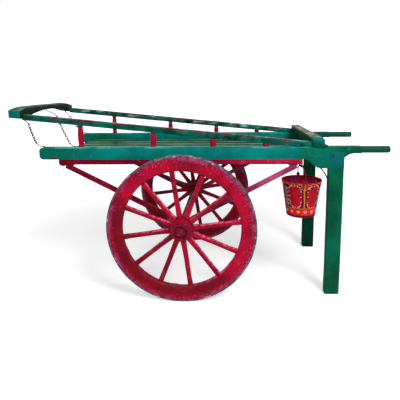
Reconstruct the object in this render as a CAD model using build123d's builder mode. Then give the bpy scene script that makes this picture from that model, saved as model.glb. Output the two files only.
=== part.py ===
from build123d import *
import os
from math import atan2, cos, degrees, hypot, radians

# A two-wheeled wooden hand barrow with a sloping rail frame, hung chains and a painted bucket.
# Millimetres. X runs towards the handles, Y across (the left side is -Y), Z up, floor at Z = 0.
# Every x value below is measured from the axle, and AXLE_X brings it into the part's frame.

# Reach of the whole barrow from its axle
TAIL_REACH = 1160.0
HANDLE_REACH = 1366.0
AXLE_X = (TAIL_REACH - HANDLE_REACH) / 2

# Wheels
WHEEL_RADIUS = 500.0
WHEEL_CLEAR = 10.0
TYRE_THICK = 12.0
TYRE_WIDTH = 54.0
FELLOE_DEPTH = 92.0
FELLOE_WIDTH = 52.0
FELLOE_CHAMFER = 9.0
SPOKE_COUNT = 12
SPOKE_TURN = 8.0
SPOKE_DISH = 10.0
SPOKE_ROOT_WIDTH = 38.0
SPOKE_ROOT_THICK = 34.0
SPOKE_WAIST_WIDTH = 34.0
SPOKE_WAIST_THICK = 28.0
SPOKE_EDGE = 8.0
SPOKE_SWELL = 110.0
SPOKE_SCRIBE = 4.0
NAVE_FLAT = 74.0
NAVE_FLAT_WIDTH = 60.0
NAVE_BACK_RADIUS = 56.0
NAVE_NOSE_RADIUS = 55.0
NAVE_BACK = 88.0
NAVE_NOSE = 78.0
NAVE_BAND_THICK = 4.0
NAVE_BAND_WIDTH = 20.0
NAVE_RECESS_RADIUS = 43.0
NAVE_RECESS_DEPTH = 16.0

# Axle
AXLE_SQUARE = 38.0
AXLE_ARM_RADIUS = 16.0
AXLE_FIT = 0.3
AXLE_COLLAR_RADIUS = 32.0
AXLE_NUT_RADIUS = 31.0
AXLE_NUT_THICK = 12.0
AXLE_NUT_EDGE = 1.5
AXLE_END_GAP = 0.5

# Side beams with their knees and handles
BED_HALF_WIDTH = 442.0
BEAM_THICK = 50.0
BEAM_TOP = 1035.0
BEAM_DEPTH = 83.0
BEAM_TAIL = 979.0
BEAM_NOSE_RADIUS = 26.0
KNEE_START = 803.0
KNEE_DROP = 62.0
KNEE_RUN = 125.0
NECK_RUN = 68.0
NECK_RISE = 28.0
HANDLE_RADIUS = 22.5
HANDLE_NECK_END = 1178.0
HANDLE_DOME = 8.0

# Legs
LEG_INNER = 972.0
LEG_WIDTH = 100.0
LEG_THICK = 46.0
LEG_LAP_THICK = 24.0
LEG_LAP_TOP = 1000.0
LEG_EDGE = 4.0
LEG_FOOT_RADIUS = 12.0
STAY_WIRE = 9.0
STAY_START = 888.0
STAY_RISE = 24.0
STAY_FALL = 118.0
STAY_BULGE_RUN = 48.0
STAY_BULGE_DROP = 52.0

# Sills and axle stays under the beams
SILL_DEPTH = 36.0
SILL_THICK = 34.0
SILL_TAIL = 846.0
SILL_HEAD = 803.0
SILL_EDGE = 3.0
BRACE_DEPTH = 33.0
BRACE_THICK = 22.0
BRACE_TAIL_X = 800.0
BRACE_HEAD_X = 765.0
BRACE_FOOT_INNER = 52.0
BRACE_TAIL_TOE = 42.0
BRACE_HEAD_TOE = 6.0
BRACE_FOOT_THICK = 9.0
BRACE_EYE_RADIUS = 44.0

# Bearers and deck boards
BOARD_COUNT = 6
BOARD_THICK = 20.0
BOARD_GAP = 7.0
DECK_DROP = 50.0
DECK_TAIL = 862.0
DECK_HEAD = 945.0
BEARER_WIDTH = 46.0
BEARER_COUNT = 4
BEARER_FIRST = -380.0
BEARER_PITCH = 380.0
TAIL_BEARER_RISE = 6.0

# Upper frame: sloping rails, spindles, tail bar and front bar
RAIL_HEIGHT_AT_AXLE = 1153.0
RAIL_SLOPE = 0.101
RAIL_DEPTH = 40.0
RAIL_WIDTH = 44.0
SPINDLE_1_X = -690.0
SPINDLE_2_X = -192.0
SPINDLE_3_X = 210.0
SPINDLE_4_X = 560.0
SPINDLE_END_RADIUS = 15.0
SPINDLE_BELLY_RADIUS = 20.5
TAIL_BAR_WIDTH = 76.0
TAIL_BAR_RISE = 42.0
TAIL_BAR_GRIP = 30.0
TAIL_BAR_OVERHANG = 22.0
TAIL_BAR_ROUND = 12.0
TAIL_BAR_ARCH_HALF = 375.0
TAIL_BAR_ARCH_RISE = 42.0
TAIL_BAR_SHOULDER_RUN = 120.0
TAIL_BAR_SHOULDER_DROP = 22.0
FRONT_BAR_START = 862.0
FRONT_BAR_WIDTH = 78.0
FRONT_BAR_DEPTH = 60.0
FRONT_BAR_OVERHANG = 12.0
FRONT_BAR_TOE = 22.0
FRONT_BAR_TOE_RISE = 12.0
FRONT_BAR_CHAMFER = 14.0
FRONT_BAR_ROUND = 10.0

# Chains
LINK_WIRE = 4.4
LINK_PITCH = 20.6
LINK_WIDTH = 16.0
LINK_CORNER = 4.4
LINK_SEAT = 0.2
CHAIN_SAG = 8.0
EYE_RADIUS = 6.0
ROD_WIRE = 5.0
ROD_BEND = 5.0
ROD_ROOT = 8.0
ROD_LEAD = 12.0
ROD_LIE = 5.0
CHAIN_TOP_INSET = 51.0
CHAIN_SIDE_INSET = 70.0
CHAIN_LOW_INSET = 31.0

# Hung bucket
BUCKET_X = 800.0
BUCKET_RIM_RADIUS = 131.0
BUCKET_BASE_RADIUS = 94.0
BUCKET_HEIGHT = 241.0
BUCKET_WALL = 2.5
BUCKET_BEAD = 5.0
BUCKET_FOOT = 8.0
BUCKET_EAR = 24.0
BUCKET_EAR_RISE = 8.0
BUCKET_EAR_THICK = 5.0
BAIL_WIRE = 7.0
BAIL_RISE = 80.0
BAIL_CLEAR = 5.0
BAIL_SHOULDER_RISE = 50.0
BAIL_CROWN_HALF = 42.0
BAIL_BEND = 38.0
BAIL_PLAY = 0.3
HOOK_WIRE = 9.0
HOOK_BEND = 9.0
HOOK_REACH = 34.0
HOOK_DROP = 14.0
HOOK_TIP = 20.0

# Heights and offsets that follow from the sizes above
BEAM_BOTTOM = BEAM_TOP - BEAM_DEPTH
BEAM_INNER = BED_HALF_WIDTH - BEAM_THICK
BEAM_MIDDLE = BED_HALF_WIDTH - BEAM_THICK / 2
KNEE_BOTTOM = BEAM_BOTTOM - KNEE_DROP
HANDLE_BOTTOM = BEAM_TOP - 2 * HANDLE_RADIUS
HANDLE_AXIS = BEAM_TOP - HANDLE_RADIUS
LEG_OUTER = LEG_INNER + LEG_WIDTH
SILL_BOTTOM = BEAM_BOTTOM - SILL_DEPTH
DECK_TOP = BEAM_TOP - DECK_DROP
DECK_BOTTOM = DECK_TOP - BOARD_THICK
FELLOE_RADIUS = WHEEL_RADIUS - TYRE_THICK
FELLOE_INNER = FELLOE_RADIUS - FELLOE_DEPTH
NAVE_MIDDLE = BED_HALF_WIDTH + WHEEL_CLEAR + NAVE_BACK
RIM_MIDDLE = NAVE_MIDDLE + SPOKE_DISH
NAVE_BACK_END = NAVE_MIDDLE - NAVE_BACK
NAVE_NOSE_END = NAVE_MIDDLE + NAVE_NOSE
RECESS_FLOOR = NAVE_NOSE_END - NAVE_RECESS_DEPTH
AXLE_NUT_START = RECESS_FLOOR + AXLE_END_GAP
AXLE_TIP = AXLE_NUT_START + AXLE_NUT_THICK
TAIL_BAR_HEAD = TAIL_BAR_WIDTH - TAIL_REACH
SIDES = (("left", -1), ("right", 1))
WIRE_SIDES = 8
ROD_SIDES = 6

os.makedirs("parts", exist_ok=True)


def rail_top(x):
    """Height of the sloping rails' top face at a distance x from the axle."""
    return RAIL_HEIGHT_AT_AXLE - RAIL_SLOPE * x


def side_plane(y):
    """Upright plane along the barrow at y, local x from the axle, local y the height, facing -Y."""
    return Plane(origin=(AXLE_X, y, 0), x_dir=(1, 0, 0), z_dir=(0, -1, 0))


def wheel_plane(y):
    """Plane of a wheel's section at y, centred on the axle and facing -Y."""
    return Plane(origin=(AXLE_X, y, WHEEL_RADIUS), x_dir=(1, 0, 0), z_dir=(0, -1, 0))


def finish(builder, name):
    """Label a finished piece and write its file."""
    builder.part.label = name
    export_step(builder.part, f"parts/{name}.step")


def outer_face(side):
    """The y of a side's outer face plane, from which a piece is extruded inwards."""
    return side * BED_HALF_WIDTH


def inward(side, depth):
    """Extrusion from a side plane, which faces -Y, towards the middle of the barrow."""
    return side * depth


def outward(side, depth):
    """Extrusion from a side plane away from the middle of the barrow."""
    return -side * depth


def wire_section(path, thickness, sides):
    """The many-sided section of a bent wire, at the start of its path."""
    with BuildSketch(Plane(origin=path.line @ 0, z_dir=path.line % 0)) as section:
        RegularPolygon(thickness / 2, sides)
    return section.sketch


# Legs: a plank whose head is lapped into the beam's outer half
legs, beams = {}, {}
for side_name, side in SIDES:
    with BuildPart() as leg:
        with BuildSketch(side_plane(outer_face(side))):
            with Locations(((LEG_INNER + LEG_OUTER) / 2, KNEE_BOTTOM / 2)):
                Rectangle(LEG_WIDTH, KNEE_BOTTOM)
        extrude(amount=inward(side, LEG_THICK))
        fillet(leg.edges().filter_by(Axis.Y).group_by(Axis.Z)[0], radius=LEG_FOOT_RADIUS)
        chamfer(leg.edges().filter_by(Axis.Z), length=LEG_EDGE)
        with BuildSketch(side_plane(outer_face(side))):
            with Locations(((LEG_INNER + LEG_OUTER) / 2, (KNEE_BOTTOM + LEG_LAP_TOP) / 2)):
                Rectangle(LEG_WIDTH, LEG_LAP_TOP - KNEE_BOTTOM)
        extrude(amount=inward(side, LEG_LAP_THICK))
    legs[side_name] = leg
    finish(leg, f"leg_{side_name}")

# Side beams: plank, knee over the leg and round handle
for side_name, side in SIDES:
    with BuildPart() as beam:
        with BuildSketch(side_plane(outer_face(side))):
            with BuildLine():
                knee = (KNEE_START + KNEE_RUN, KNEE_BOTTOM)
                knee_middle = (KNEE_START + KNEE_RUN / 2, BEAM_BOTTOM - KNEE_DROP / 2)
                neck = (LEG_OUTER, HANDLE_BOTTOM - NECK_RISE)
                Polyline(
                    (HANDLE_NECK_END, HANDLE_BOTTOM),
                    (HANDLE_NECK_END, BEAM_TOP),
                    (-BEAM_TAIL, BEAM_TOP),
                    (-BEAM_TAIL, BEAM_BOTTOM),
                    (KNEE_START, BEAM_BOTTOM),
                )
                TangentArc((KNEE_START, BEAM_BOTTOM), knee_middle, tangent=(1, 0))
                TangentArc(knee, knee_middle, tangent=(-1, 0))
                Polyline(knee, (LEG_OUTER, KNEE_BOTTOM), neck)
                TangentArc((LEG_OUTER + NECK_RUN, HANDLE_BOTTOM), neck, tangent=(-1, 0))
                Line((LEG_OUTER + NECK_RUN, HANDLE_BOTTOM), (HANDLE_NECK_END, HANDLE_BOTTOM))
            make_face()
        extrude(amount=inward(side, BEAM_THICK))
        fillet(beam.edges().filter_by(Axis.Y).group_by(Axis.X)[0], radius=BEAM_NOSE_RADIUS)
        with BuildSketch(Plane.YZ.offset(AXLE_X + HANDLE_NECK_END)):
            with Locations((side * BEAM_MIDDLE, HANDLE_AXIS)):
                Circle(HANDLE_RADIUS)
        extrude(amount=HANDLE_REACH - HANDLE_NECK_END)
        fillet(beam.edges().group_by(Axis.X)[-1], radius=HANDLE_DOME)
        add(legs[side_name].part, mode=Mode.SUBTRACT)
    beams[side_name] = beam
    finish(beam, f"beam_{side_name}")

# Sills: red battens under the beams
for side_name, side in SIDES:
    with BuildPart() as sill:
        with BuildSketch(side_plane(outer_face(side))):
            with Locations(((SILL_HEAD - SILL_TAIL) / 2, (SILL_BOTTOM + BEAM_BOTTOM) / 2)):
                Rectangle(SILL_HEAD + SILL_TAIL, SILL_DEPTH)
        extrude(amount=inward(side, SILL_THICK))
        chamfer(sill.edges().filter_by(Axis.X).group_by(Axis.Z)[0], length=SILL_EDGE)
    finish(sill, f"sill_{side_name}")

# Axle stays: one forged V a side, with a foot under the sill at each end and an eye at the axle
# Columns: where the arm meets its foot, which way is away from the axle, how far the foot runs that way
BRACE_FEET = (
    (-BRACE_TAIL_X, -1, BRACE_TAIL_TOE),
    (BRACE_HEAD_X, 1, BRACE_HEAD_TOE),
)
for side_name, side in SIDES:
    with BuildPart() as stay:
        with BuildSketch(side_plane(outer_face(side) - side * (SILL_THICK - BRACE_THICK) / 2)):
            rise = SILL_BOTTOM - BRACE_FOOT_THICK - WHEEL_RADIUS
            for foot_x, away, toe in BRACE_FEET:
                with Locations(Location((foot_x / 2, WHEEL_RADIUS + rise / 2), degrees(atan2(rise, foot_x)))):
                    Rectangle(hypot(rise, foot_x), BRACE_DEPTH)
                foot_middle = foot_x + away * (toe - BRACE_FOOT_INNER) / 2
                with Locations((foot_middle, SILL_BOTTOM - BRACE_FOOT_THICK / 2)):
                    Rectangle(BRACE_FOOT_INNER + toe, BRACE_FOOT_THICK)
            with Locations((0, WHEEL_RADIUS)):
                Circle(BRACE_EYE_RADIUS)
                Rectangle(AXLE_SQUARE, AXLE_SQUARE, mode=Mode.SUBTRACT)
            with Locations((0, SILL_BOTTOM + BRACE_DEPTH)):
                Rectangle(2 * TAIL_REACH, 2 * BRACE_DEPTH, mode=Mode.SUBTRACT)
        extrude(amount=inward(side, BRACE_THICK))
    finish(stay, f"axle_stay_{side_name}")

# Axle: square bar through the stays' eyes, a collar and a round arm at each end, and the nuts
with BuildPart() as axle:
    with BuildSketch(side_plane(outer_face(1))):
        with Locations((0, WHEEL_RADIUS)):
            Rectangle(AXLE_SQUARE, AXLE_SQUARE)
    extrude(amount=2 * BED_HALF_WIDTH)
    for side_name, side in SIDES:
        for radius, end in ((AXLE_COLLAR_RADIUS, NAVE_BACK_END - AXLE_END_GAP), (AXLE_ARM_RADIUS, AXLE_TIP)):
            with BuildSketch(wheel_plane(outer_face(side))):
                Circle(radius)
            extrude(amount=outward(side, end - BED_HALF_WIDTH))
finish(axle, "axle")

for side_name, side in SIDES:
    with BuildPart() as nut:
        with BuildSketch(wheel_plane(side * AXLE_NUT_START)):
            Circle(AXLE_NUT_RADIUS)
            Circle(AXLE_ARM_RADIUS, mode=Mode.SUBTRACT)
        extrude(amount=outward(side, AXLE_NUT_THICK))
        outer_rings = nut.edges().filter_by(GeomType.CIRCLE).group_by(SortBy.RADIUS)[-1]
        chamfer(outer_rings.sort_by(Axis.Y)[0 if side < 0 else -1], length=AXLE_NUT_EDGE)
    finish(nut, f"axle_nut_{side_name}")

# Wheels: nave with a faceted spoke ring, nave bands, felloes, iron tyre and dished spokes
NAVE_RING_RADIUS = NAVE_FLAT / cos(radians(180 / SPOKE_COUNT))
for side_name, side in SIDES:
    hub_axis = Axis((AXLE_X, side * NAVE_MIDDLE, WHEEL_RADIUS), (0, 1, 0))
    with BuildPart() as nave:
        with BuildSketch(Plane(origin=hub_axis.position, x_dir=(0, 0, 1), z_dir=(-1, 0, 0))):
            # Radius from the axle against the way outwards from the spokes' plane
            Polygon(
                *(
                    (radius, side * out)
                    for radius, out in (
                        (0, -NAVE_BACK),
                        (NAVE_BACK_RADIUS, -NAVE_BACK),
                        (NAVE_BACK_RADIUS, NAVE_BAND_WIDTH - NAVE_BACK),
                        (NAVE_RING_RADIUS, -NAVE_FLAT_WIDTH / 2),
                        (NAVE_RING_RADIUS, NAVE_FLAT_WIDTH / 2),
                        (NAVE_NOSE_RADIUS, NAVE_NOSE - NAVE_BAND_WIDTH),
                        (NAVE_NOSE_RADIUS, NAVE_NOSE),
                        (NAVE_RECESS_RADIUS, NAVE_NOSE),
                        (NAVE_RECESS_RADIUS, NAVE_NOSE - NAVE_RECESS_DEPTH),
                        (0, NAVE_NOSE - NAVE_RECESS_DEPTH),
                    )
                ),
                align=None,
            )
        revolve(axis=hub_axis)
        with BuildSketch(wheel_plane(side * NAVE_MIDDLE)):
            Circle(2 * NAVE_RING_RADIUS)
            RegularPolygon(NAVE_FLAT, SPOKE_COUNT, major_radius=False,
                           rotation=SPOKE_TURN + 180 / SPOKE_COUNT, mode=Mode.SUBTRACT)
        extrude(amount=NAVE_FLAT_WIDTH / 2, both=True, mode=Mode.SUBTRACT)
        with BuildSketch(wheel_plane(side * NAVE_BACK_END)):
            Circle(AXLE_ARM_RADIUS + AXLE_FIT)
        extrude(amount=outward(side, NAVE_BACK + NAVE_NOSE), mode=Mode.SUBTRACT)
    finish(nave, f"nave_{side_name}")

    with BuildPart() as bands:
        for start, radius in (
            (NAVE_BACK_END, NAVE_BACK_RADIUS),
            (NAVE_NOSE_END - NAVE_BAND_WIDTH, NAVE_NOSE_RADIUS),
        ):
            with BuildSketch(wheel_plane(side * start)):
                Circle(radius + NAVE_BAND_THICK)
                Circle(radius, mode=Mode.SUBTRACT)
            extrude(amount=outward(side, NAVE_BAND_WIDTH))
    finish(bands, f"nave_bands_{side_name}")

    with BuildPart() as felloes:
        with BuildSketch(wheel_plane(side * RIM_MIDDLE)):
            Circle(FELLOE_RADIUS)
            Circle(FELLOE_INNER, mode=Mode.SUBTRACT)
        extrude(amount=FELLOE_WIDTH / 2, both=True)
        inner_rings = felloes.edges().filter_by(GeomType.CIRCLE).group_by(SortBy.RADIUS)[0]
        chamfer(inner_rings, length=FELLOE_CHAMFER)
    finish(felloes, f"felloes_{side_name}")

    with BuildPart() as tyre:
        with BuildSketch(wheel_plane(side * RIM_MIDDLE)):
            Circle(WHEEL_RADIUS)
            Circle(FELLOE_RADIUS, mode=Mode.SUBTRACT)
        extrude(amount=TYRE_WIDTH / 2, both=True)
    finish(tyre, f"tyre_{side_name}")

    # One spoke along +X, shaved from its root to its waist, its tip scribed to the felloes
    lean = Vector(FELLOE_INNER - NAVE_FLAT, side * SPOKE_DISH, 0).normalized()
    root = Vector(AXLE_X + NAVE_FLAT, side * NAVE_MIDDLE, WHEEL_RADIUS)
    reach = (FELLOE_INNER - NAVE_FLAT) / lean.X
    with BuildPart() as spoke:
        for distance, width, thick in (
            (-SPOKE_SCRIBE, SPOKE_ROOT_WIDTH, SPOKE_ROOT_THICK),
            (SPOKE_SWELL, SPOKE_WAIST_WIDTH, SPOKE_WAIST_THICK),
            (reach + SPOKE_SCRIBE, SPOKE_WAIST_WIDTH, SPOKE_WAIST_THICK),
        ):
            with BuildSketch(Plane(origin=root + lean * distance, x_dir=(0, 0, 1), z_dir=lean)) as section:
                Rectangle(width, thick)
                chamfer(section.vertices(), length=SPOKE_EDGE)
        loft(ruled=True)
        split(bisect_by=Plane.YZ.offset(AXLE_X + NAVE_FLAT), keep=Keep.TOP)
        add(felloes.part, mode=Mode.SUBTRACT)
    with BuildPart() as spokes:
        for number in range(SPOKE_COUNT):
            add(spoke.part.rotate(hub_axis, -SPOKE_TURN - number * 360 / SPOKE_COUNT))
    finish(spokes, f"spokes_{side_name}")

# Bearers across the bed, with tongues under the beams, and the boards on them
with BuildPart() as bearer:
    with BuildSketch(Plane.YZ):
        with Locations((0, (SILL_BOTTOM + DECK_BOTTOM) / 2)):
            Rectangle(2 * BEAM_INNER, DECK_BOTTOM - SILL_BOTTOM)
        with Locations((0, (SILL_BOTTOM + BEAM_BOTTOM) / 2)):
            Rectangle(2 * (BED_HALF_WIDTH - SILL_THICK), SILL_DEPTH)
    extrude(amount=BEARER_WIDTH / 2, both=True)
for number in range(BEARER_COUNT):
    with BuildPart() as placed:
        with Locations((AXLE_X + BEARER_FIRST + number * BEARER_PITCH, 0, 0)):
            add(bearer.part)
    finish(placed, f"bearer_{number + 1}")

with BuildPart() as tail_bearer:
    with BuildSketch(Plane.YZ.offset(AXLE_X - DECK_TAIL - BEARER_WIDTH)):
        with Locations((0, (SILL_BOTTOM + DECK_BOTTOM + TAIL_BEARER_RISE) / 2)):
            Rectangle(2 * BEAM_INNER, DECK_BOTTOM + TAIL_BEARER_RISE - SILL_BOTTOM)
        with Locations((0, (SILL_BOTTOM + BEAM_BOTTOM) / 2)):
            Rectangle(2 * BED_HALF_WIDTH, SILL_DEPTH)
    extrude(amount=BEARER_WIDTH)
finish(tail_bearer, "tail_bearer")

with BuildPart() as deck:
    board_width = (2 * BEAM_INNER - (BOARD_COUNT + 1) * BOARD_GAP) / BOARD_COUNT
    with BuildSketch(Plane.XY.offset(DECK_BOTTOM)):
        with Locations((AXLE_X + (DECK_HEAD - DECK_TAIL) / 2, 0)):
            with GridLocations(0, board_width + BOARD_GAP, 1, BOARD_COUNT):
                Rectangle(DECK_HEAD + DECK_TAIL, board_width)
    extrude(amount=BOARD_THICK)
finish(deck, "deck_boards")

# Upper frame: tail bar canted with the rails, arched underneath and dropping at its shoulders
bar_half = BED_HALF_WIDTH + TAIL_BAR_OVERHANG
bar_foot = (AXLE_X - TAIL_REACH, 0, rail_top(-TAIL_REACH) - TAIL_BAR_GRIP)
bar_front = Plane(origin=bar_foot, x_dir=(0, 1, 0), z_dir=(1, 0, -RAIL_SLOPE))
bar_depth = TAIL_BAR_GRIP + TAIL_BAR_RISE
shoulder_slope = TAIL_BAR_SHOULDER_DROP / TAIL_BAR_SHOULDER_RUN
with BuildPart() as tail_bar:
    with BuildSketch(side_plane(bar_half)):
        Polygon(
            (-TAIL_REACH, rail_top(-TAIL_REACH) - TAIL_BAR_GRIP),
            (TAIL_BAR_HEAD, rail_top(TAIL_BAR_HEAD) - TAIL_BAR_GRIP),
            (TAIL_BAR_HEAD, rail_top(TAIL_BAR_HEAD) + TAIL_BAR_RISE),
            (-TAIL_REACH, rail_top(-TAIL_REACH) + TAIL_BAR_RISE),
            align=None,
        )
    extrude(amount=2 * bar_half)
    fillet(tail_bar.edges().filter_by(Axis.Y).sort_by(Axis.Z)[-2:], radius=TAIL_BAR_ROUND)
    with BuildSketch(bar_front):
        with BuildLine():
            ThreePointArc((-TAIL_BAR_ARCH_HALF, 0), (0, TAIL_BAR_ARCH_RISE), (TAIL_BAR_ARCH_HALF, 0))
            Polyline(
                (TAIL_BAR_ARCH_HALF, 0),
                (TAIL_BAR_ARCH_HALF, -TAIL_BAR_GRIP),
                (-TAIL_BAR_ARCH_HALF, -TAIL_BAR_GRIP),
                (-TAIL_BAR_ARCH_HALF, 0),
            )
        make_face()
        for side_name, side in SIDES:
            Polygon(
                (side * (bar_half - TAIL_BAR_SHOULDER_RUN), bar_depth),
                (side * (bar_half + TAIL_BAR_WIDTH), bar_depth),
                (
                    side * (bar_half + TAIL_BAR_WIDTH),
                    bar_depth - shoulder_slope * (TAIL_BAR_SHOULDER_RUN + TAIL_BAR_WIDTH),
                ),
                align=None,
            )
    extrude(amount=2 * TAIL_BAR_WIDTH, both=True, mode=Mode.SUBTRACT)
finish(tail_bar, "tail_bar")

with BuildPart() as front_bar:
    with BuildSketch(side_plane(BED_HALF_WIDTH + FRONT_BAR_OVERHANG)):
        bar_end = FRONT_BAR_START + FRONT_BAR_WIDTH
        bar_top = BEAM_TOP + FRONT_BAR_DEPTH
        Polygon(
            (FRONT_BAR_START, BEAM_TOP),
            (bar_end + FRONT_BAR_TOE, BEAM_TOP),
            (bar_end + FRONT_BAR_TOE, BEAM_TOP + FRONT_BAR_TOE_RISE),
            (bar_end, BEAM_TOP + FRONT_BAR_TOE_RISE),
            (bar_end, bar_top - FRONT_BAR_CHAMFER),
            (bar_end - FRONT_BAR_CHAMFER, bar_top),
            (FRONT_BAR_START, bar_top),
            align=None,
        )
    extrude(amount=2 * (BED_HALF_WIDTH + FRONT_BAR_OVERHANG))
    rear_edges = front_bar.edges().filter_by(Axis.Y).group_by(Axis.X)[0]
    fillet(rear_edges.sort_by(Axis.Z)[-1], radius=FRONT_BAR_ROUND)
finish(front_bar, "front_bar")

# Rails from the tail bar's head face down to the front bar, and the turned spindles under them
for side_name, side in SIDES:
    with BuildPart() as rail:
        with BuildSketch(side_plane(side * (BEAM_MIDDLE + RAIL_WIDTH / 2))):
            Polygon(
                (TAIL_BAR_HEAD, rail_top(TAIL_BAR_HEAD)),
                (TAIL_BAR_HEAD, rail_top(TAIL_BAR_HEAD) - RAIL_DEPTH),
                (FRONT_BAR_START, rail_top(FRONT_BAR_START) - RAIL_DEPTH),
                (FRONT_BAR_START, rail_top(FRONT_BAR_START)),
                align=None,
            )
        extrude(amount=inward(side, RAIL_WIDTH))
        split(bisect_by=Plane.XY.offset(BEAM_TOP), keep=Keep.TOP)
    finish(rail, f"rail_{side_name}")

    under = Plane(origin=(AXLE_X, 0, rail_top(0) - RAIL_DEPTH), x_dir=(0, 1, 0), z_dir=(RAIL_SLOPE, 0, 1))
    with BuildPart() as spindles:
        for station in (SPINDLE_1_X, SPINDLE_2_X, SPINDLE_3_X, SPINDLE_4_X):
            top = rail_top(station - SPINDLE_BELLY_RADIUS) - RAIL_DEPTH
            height = top - BEAM_TOP
            foot = (AXLE_X + station, side * BEAM_MIDDLE, BEAM_TOP)
            with BuildSketch(Plane(origin=foot, x_dir=(1, 0, 0), z_dir=(0, -1, 0))):
                with BuildLine():
                    Line((0, 0), (SPINDLE_END_RADIUS, 0))
                    ThreePointArc((SPINDLE_END_RADIUS, 0), (SPINDLE_BELLY_RADIUS, height / 2),
                                  (SPINDLE_END_RADIUS, height))
                    Polyline((SPINDLE_END_RADIUS, height), (0, height), (0, 0))
                make_face()
            revolve(axis=Axis(foot, (0, 0, 1)))
        split(bisect_by=under, keep=Keep.BOTTOM)
    finish(spindles, f"spindles_{side_name}")

# Curved iron stays between the knees and the legs
for side_name, side in SIDES:
    y = side * (BED_HALF_WIDTH - LEG_THICK / 2)
    knee_z = KNEE_BOTTOM + STAY_RISE
    with BuildPart() as leg_stay:
        with BuildLine(side_plane(y)) as path:
            bulge = (STAY_START + STAY_BULGE_RUN, knee_z - STAY_BULGE_DROP)
            ThreePointArc((STAY_START, knee_z), bulge, (LEG_INNER, knee_z - STAY_FALL))
        sweep(wire_section(path, STAY_WIRE, WIRE_SIDES))
        add(beams[side_name].part, mode=Mode.SUBTRACT)
        add(legs[side_name].part, mode=Mode.SUBTRACT)
    finish(leg_stay, f"leg_stay_{side_name}")

# Chains: alternate links, each bearing on the next, between an eyed rod under the bar and one in the bed
with BuildPart() as eye:
    with BuildSketch(Plane.XY):
        for flat, mode in ((EYE_RADIUS + LINK_WIRE / 2, Mode.ADD), (EYE_RADIUS - LINK_WIRE / 2, Mode.SUBTRACT)):
            RegularPolygon(flat, WIRE_SIDES, major_radius=False, rotation=180 / WIRE_SIDES, mode=mode)
    extrude(amount=LINK_WIRE / 2, both=True)

CHAIN_TOP_X = CHAIN_TOP_INSET - TAIL_REACH
CHAIN_TOP_Y = BED_HALF_WIDTH - CHAIN_SIDE_INSET
CHAIN_LOW_X = CHAIN_LOW_INSET - BEAM_TAIL
TAIL_BEARER_MIDDLE = -DECK_TAIL - BEARER_WIDTH / 2
TAIL_BEARER_TOP = DECK_BOTTOM + TAIL_BEARER_RISE
BAR_UNDERSIDE = rail_top(CHAIN_TOP_X) - TAIL_BAR_GRIP
ARCH_CROWN = BAR_UNDERSIDE + TAIL_BAR_ARCH_RISE
# Columns: name, y and height under the tail bar, and x, y and height where the foot rod enters the bed
CHAINS = (
    ("left", -CHAIN_TOP_Y, BAR_UNDERSIDE, CHAIN_LOW_X, -BEAM_MIDDLE, BEAM_TOP, beams["left"]),
    ("middle", 0.0, ARCH_CROWN, TAIL_BEARER_MIDDLE, 0.0, TAIL_BEARER_TOP, tail_bearer),
    ("right", CHAIN_TOP_Y, BAR_UNDERSIDE, CHAIN_LOW_X, BEAM_MIDDLE, BEAM_TOP, beams["right"]),
)
# Rod corners from the head rod's root: run and drop, the last one at its eye
HEAD_RODS = {
    "left": ((38.0, 50.0),),
    "middle": ((54.0, 38.0), (80.0, 66.0)),
    "right": ((38.0, 50.0),),
}
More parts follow.
